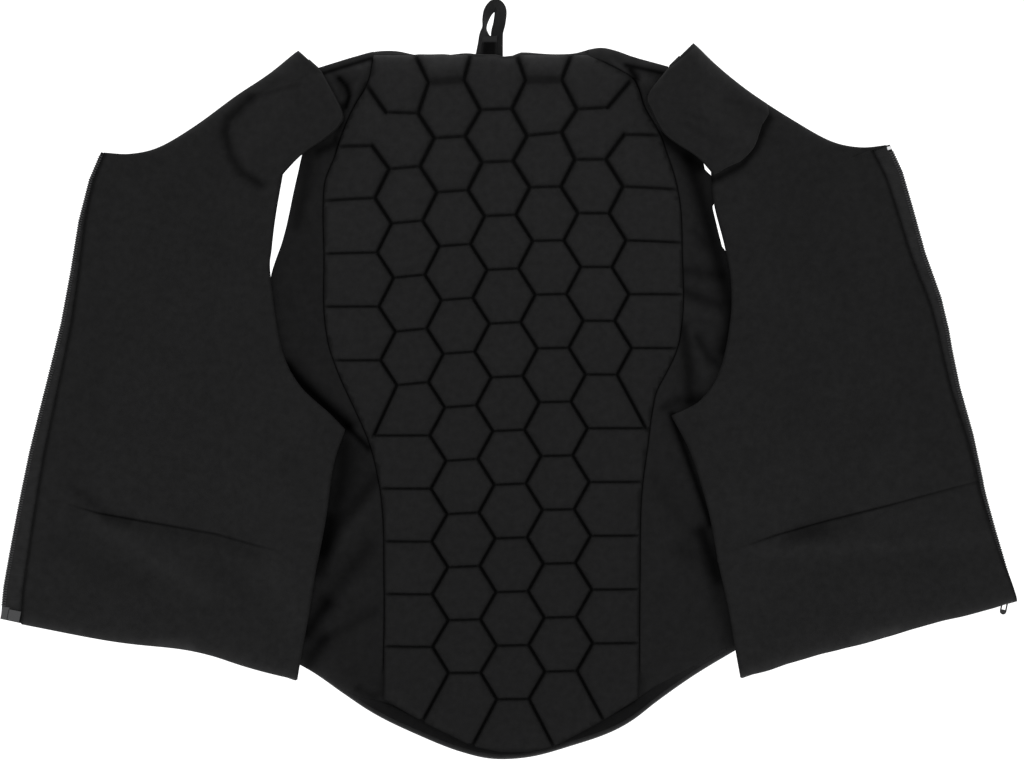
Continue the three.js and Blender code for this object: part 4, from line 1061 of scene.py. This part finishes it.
def back_cloth():
    x, y = shell_places()
    off = path_distance(x, y, [*PAD_EDGE, PAD_EDGE[0]])
    axis, half = pad_half(y)
    outside = (np.abs(x - axis) > half) | (y < PAD_ROWS[0, 0])
    sewn = 1 - ramp(y, *SHELL_LOW_END)
    seam = (SEAM_Z - CLOTH - SEAM_RUN["gap"]) * sewn
    stitch = bell(off, STITCH["width"]) * sewn * (y < PAD_SEAM_TOP)
    slope = 1 - smooth(off / np.where(outside, SEAM_RUN["outside"], SEAM_RUN["inside"]))
    rise = slope * seam - STITCH["depth"] * stitch
    front_off = np.where(
        x < 0,
        x - np.interp(y, EDGES["left"][:, 1], EDGES["left"][:, 0]),
        np.interp(y, EDGES["right"][:, 1], EDGES["right"][:, 0]) - x,
    )
    hem_off = y - curve(HEM_CURVE, x)
    collar_off = curve(COLLAR_CURVE, x) - neck_dip(x, SHELL_TOP) - y
    mask = outside * ramp(off, *FOLDED["rim"]) * ramp(front_off, *FOLDED["front"])
    mask = mask * ramp(hem_off, *FOLDED["hem"])
    wrinkles = sum(noise(x + y, x - y, *bumps) for bumps in WRINKLES)
    bead = BEAD["height"] * bell(hem_off - BEAD["place"], BEAD["width"]) - rounded(hem_off, *BEAD["round"])
    z = CLOTH + rise + (fold_heights(SHELL_FOLDS, x, y) + wrinkles) * mask + bead
    shade = painted_shading(SHELL_STROKES, x, y) * (1 - STITCH["dark"] * stitch)
    shade *= 1 + SHELL_PAINTED_LIGHT["wrinkles"] * wrinkles * mask
    shade *= rim_light(collar_off) * rim_light(hem_off, SHELL_PAINTED_LIGHT["hem"])
    shade *= np.where(x < 0, SHELL_PAINTED_LIGHT["left"], 1)
    z = np.maximum(z, SHELL_THICKNESS + FLOOR_GAP)
    made = grid_object("back_cloth", grid_points(x, y, z), SHELL, shade)
    dress(made, "back_shell", SHELL_THICKNESS)


FACING_SPAN = {"left": -136, "right": 185, "start": 4.2, "width": 10.5, "least": 0.6}
FACING_TAPER = {"left": 36, "right": 55, "margin": 20, "share": 0.25}
# The facing's painted shade fades toward its ends.
FACING_LIGHT = {"tone": 1.9, "left": 26, "right": 70}  # lighter toward its ends
FACING_THICKNESS = 0.5


def hem_facing():
    """The facing inside the hem, up to the pad's lower end, darker partly as painted shade under that end."""
    x = np.linspace(FACING_SPAN["left"], FACING_SPAN["right"], 140)
    low = curve(HEM_CURVE, x) + FACING_SPAN["start"]
    taper = mix(FACING_TAPER["share"], 1, ramp(x[-1] - FACING_TAPER["margin"], x, FACING_TAPER["right"]))
    taper = taper * ramp(x, x[0], FACING_TAPER["left"])
    high = low + FACING_SPAN["least"] + FACING_SPAN["width"] * taper
    middle = ramp(x, x[0], FACING_LIGHT["left"]) * ramp(x[-1], x, FACING_LIGHT["right"])
    shade = mix(FACING_LIGHT["tone"], 1, middle)
    y = mix(low[:, None], high[:, None], np.linspace(0, 1, 7))
    grid = grid_points(x[:, None], y, CLOTH + FACING_THICKNESS)
    made = grid_object("hem_facing", grid, FACING, shade[:, None], True)
    dress(made, "hem_band", FACING_THICKNESS)


back_cloth()
hem_facing()


# Zip


def zip_line(side, y):
    rows = FRONT_ROWS[side][:NECK_ROW + 1]
    return np.interp(y, rows[:, 1], rows[:, 0])


TEETH_SPAN = {"left": (3.6, 398), "right": (0.5, 394.5)}
TAPE_SPAN = {"left": (-7.5, 399), "right": (0.6, 399)}
PIN = {
    "span": (-7.4, 3.5),
    "across": (-1.6, -1.5, -1.0, 0.0, 1.0, 1.6, 2.2, 3.4, 4.4),
    "height": (0.4, 1.5, 2.0, 2.15, 2.0, 1.7, 1.6, 1.55, 1.5),
    "thickness": 0.3,
}
TOOTH = {"pitch": 2.1, "length": 1.25, "outside": 1.5, "inside": 2.2, "height": 1.9, "margin": 1}
TOOTH_LEVELS = [(0.1, 1.0), (TOOTH["height"] * 0.7, 1.0), (TOOTH["height"], 0.7)]  # height and size
TAPE_SHAPE = {"hidden": 8, "outside": -0.9, "height": 1.15, "thickness": 0.9}
# Painted shadow on the tape along the lining's edge.
TAPE_SHADE = {"dark": 0.55, "width": 2.0}  # along the front's edge


def zip_tape(side):
    y = np.linspace(*TAPE_SPAN[side], 160)[:, None]
    line = zip_line(side, y)
    width = table(TAPE_SHOWING[side], y) + TAPE_SHAPE["hidden"]
    x = line + mix(TAPE_SHAPE["outside"], width, np.linspace(0, 1, 28))
    under = x - line - width + TAPE_SHAPE["hidden"]
    shade = 1 - TAPE_SHADE["dark"] * bell(under, TAPE_SHADE["width"])
    placed = to_vest(side, x, y, zip_lift(side, y) + TAPE_SHAPE["height"])
    made = grid_object(f"zip_tape_{side}_cloth", placed, TAPE, shade, side == "right")
    dress(made, f"zip_tape_{side}", TAPE_SHAPE["thickness"])


def zip_teeth(side):
    """Separate moulded teeth along the edge of the tape, each a box with a narrower crown."""
    start, end = TEETH_SPAN[side]
    y = np.arange(start + TOOTH["margin"], end - TOOTH["margin"], TOOTH["pitch"])[:, None, None]
    height, size = np.array(TOOTH_LEVELS).T[..., None]
    across = np.array([-TOOTH["outside"], TOOTH["inside"], TOOTH["inside"], -TOOTH["outside"]])
    ahead = np.array([-1, -1, 1, 1]) * TOOTH["length"] / 2
    points = to_vest(side, zip_line(side, y) + across * size, y + ahead * size, zip_lift(side, y) + height)
    around = [(k, (k + 1) % 4, (k + 1) % 4 + 4, k + 4) for k in range(4)]
    box = np.array([*around, *np.add(around, 4), (8, 9, 10, 11)])
    if side == "right":
        box = box[:, ::-1]
    faces = (np.arange(len(y))[:, None, None] * 12 + box).reshape(-1, 4).tolist()
    made = mesh_object(f"zip_teeth_{side}_row", points.reshape(-1, 3), faces, TEETH)
    made.data.polygons.foreach_set("use_smooth", [False] * len(made.data.polygons))
    dress(made, f"zip_teeth_{side}")


def zip_pin():
    """The smooth pin at the foot of the left row of teeth, and the film beside it."""
    y = np.linspace(*PIN["span"], 12)[:, None]
    placed = to_vest("left", np.array(PIN["across"]), y, np.array(PIN["height"]))
    made = grid_object("zip_pin", placed, PLASTIC)
    thicken(made, PIN["thickness"])


for zip_side in ("left", "right"):
    zip_tape(zip_side)
    zip_teeth(zip_side)
zip_pin()

for node, look, width in [
    ("zip_end_tab", PLASTIC, 0.6), ("zip_top_stop", BRIGHT_METAL, 0.5), ("zip_box", DARK_METAL, 0.5),
    ("zip_slider", DARK_METAL, 0.3), ("zip_pull", DARK_METAL, 0.25),
]:
    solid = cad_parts[node]
    solid.data.materials.clear()
    solid.data.materials.append(look)
    edge = solid.modifiers.new("edge", "BEVEL")
    edge.width = width * MM
    edge.segments = 3
    edge.limit_method = "ANGLE"


# Hanger

HANGER_ROWS = np.array([
    # x, y, z, degrees that the webbing stands on edge, tone (painted light and shade along the loop)
    (-23.5, 271.5, 3.4, 0, 1.1), (-20.3, 287.3, 4.4, 15, 1.2), (-20.1, 293.7, 5.3, 53, 1.2),
    (-19.8, 298.4, 6.0, 76, 1.1), (-18.9, 305.2, 5.9, 65, 1.1), (-16.2, 312.8, 5.1, 45, 0.95),
    (-11.0, 317.6, 4.4, 28, 1.2), (-7.0, 313.2, 3.6, 12, 1.35), (-7.7, 303.0, 2.8, 4, 1.05),
    (-9.5, 295.4, 2.6, 0, 0.95), (-9.9, 289.0, 2.6, 0, 0.9), (-9.9, 271.5, 2.6, 0, 0.85),
])
HANGER = {"half_width": 5.2, "thickness": 1.3}

# The stub's lower and upper end, its sides, its height and the roll at its upper end, and its painted light:
# painted shade in a soft hollow with lighter sides, and a painted highlight on the roll.
STUB = {
    "span": (271.5, 291.5), "left": [(274.5, -23.6), (291.5, -22.0)], "right": -9.8, "height": 4.6,
    "roll": 0.9, "roll_over": (286, 2), "round": 1.4, "thickness": 2.2,
    "hollow": 0.22, "sides": 0.45, "sides_over": (0.6, 0.4), "band": 1.5, "band_over": (285.5, 1.5),
}


def hanger():
    spots = np.linspace(0, len(HANGER_ROWS) - 1, 90)
    index = np.arange(len(HANGER_ROWS))
    path = np.stack([spline(index, HANGER_ROWS[:, k], spots) for k in range(3)], axis=1)
    standing = np.radians(spline(index, HANGER_ROWS[:, 3], spots))
    ahead = np.gradient(path, axis=0)
    level = np.stack([ahead[:, 1], -ahead[:, 0]], axis=1)
    level /= np.hypot(*level.T)[:, None]
    width = np.column_stack([level * np.cos(standing)[:, None], -np.sin(standing)])
    share = np.linspace(-HANGER["half_width"], HANGER["half_width"], 9)
    grid = path[:, None] + width[:, None] * share[None, :, None]
    shade = spline(index, HANGER_ROWS[:, 4], spots)[:, None]
    made = grid_object("hanger_webbing", grid, WEBBING, shade)
    dress(made, "hanger_loop", HANGER["thickness"])


def hanger_stub():
    """The folded end of the webbing, sewn across the foot of the loop."""
    y = np.linspace(*STUB["span"], 34)[:, None]
    across = np.linspace(0, 1, 14)
    x = mix(table(STUB["left"], y), STUB["right"], across)
    roll = STUB["roll"] * ramp(y, *STUB["roll_over"]) - rounded(STUB["span"][1] - y, STUB["round"])
    hollow = STUB["hollow"] + STUB["sides"] * ramp(np.abs(2 * across - 1), *STUB["sides_over"])
    shade = mix(hollow, STUB["band"], ramp(y, *STUB["band_over"]))
    grid = grid_points(x, y, STUB["height"] + roll)
    made = grid_object("hanger_stub", grid, WEBBING, shade)
    dress(made, "hanger_keeper", STUB["thickness"])


hanger()
hanger_stub()


# Stage

FLOOR_SIZE = 8  # metres
FLOOR_GLOW = 1.3
WHITE = (1, 1, 1, 1)
bpy.ops.mesh.primitive_plane_add(size=FLOOR_SIZE)
floor = bpy.context.object
floor.name = "floor"
white = bpy.data.materials.new("white_floor")
white.use_nodes = True
white.node_tree.nodes.clear()
glow = add_node(white, "Emission", {"Color": WHITE, "Strength": FLOOR_GLOW})
add_node(white, "OutputMaterial", {"Surface": glow.outputs["Emission"]})
floor.data.materials.append(white)

world = bpy.data.worlds.new("soft_light")
bpy.context.scene.world = world
world.use_nodes = True
set_inputs(world, world.node_tree.nodes["Background"], {"Color": WHITE, "Strength": 1.0})

PICTURE_WIDTH = 870.4  # millimetres across the picture, level with the lining
VIEW = {"x": 3.0, "y": -5.1, "height": 3000.0, "level": 6.0}
SENSOR = 36
lens = bpy.data.cameras.new("camera")
lens.sensor_width = SENSOR
lens.lens = SENSOR * (VIEW["height"] - VIEW["level"]) / PICTURE_WIDTH
camera = bpy.data.objects.new("camera", lens)
bpy.context.scene.collection.objects.link(camera)
camera.location = ((VIEW["x"] + SHIFT[0]) * MM, (VIEW["y"] + SHIFT[1]) * MM, VIEW["height"] * MM)
bpy.context.scene.camera = camera
bpy.context.scene.view_settings.view_transform = "Standard"
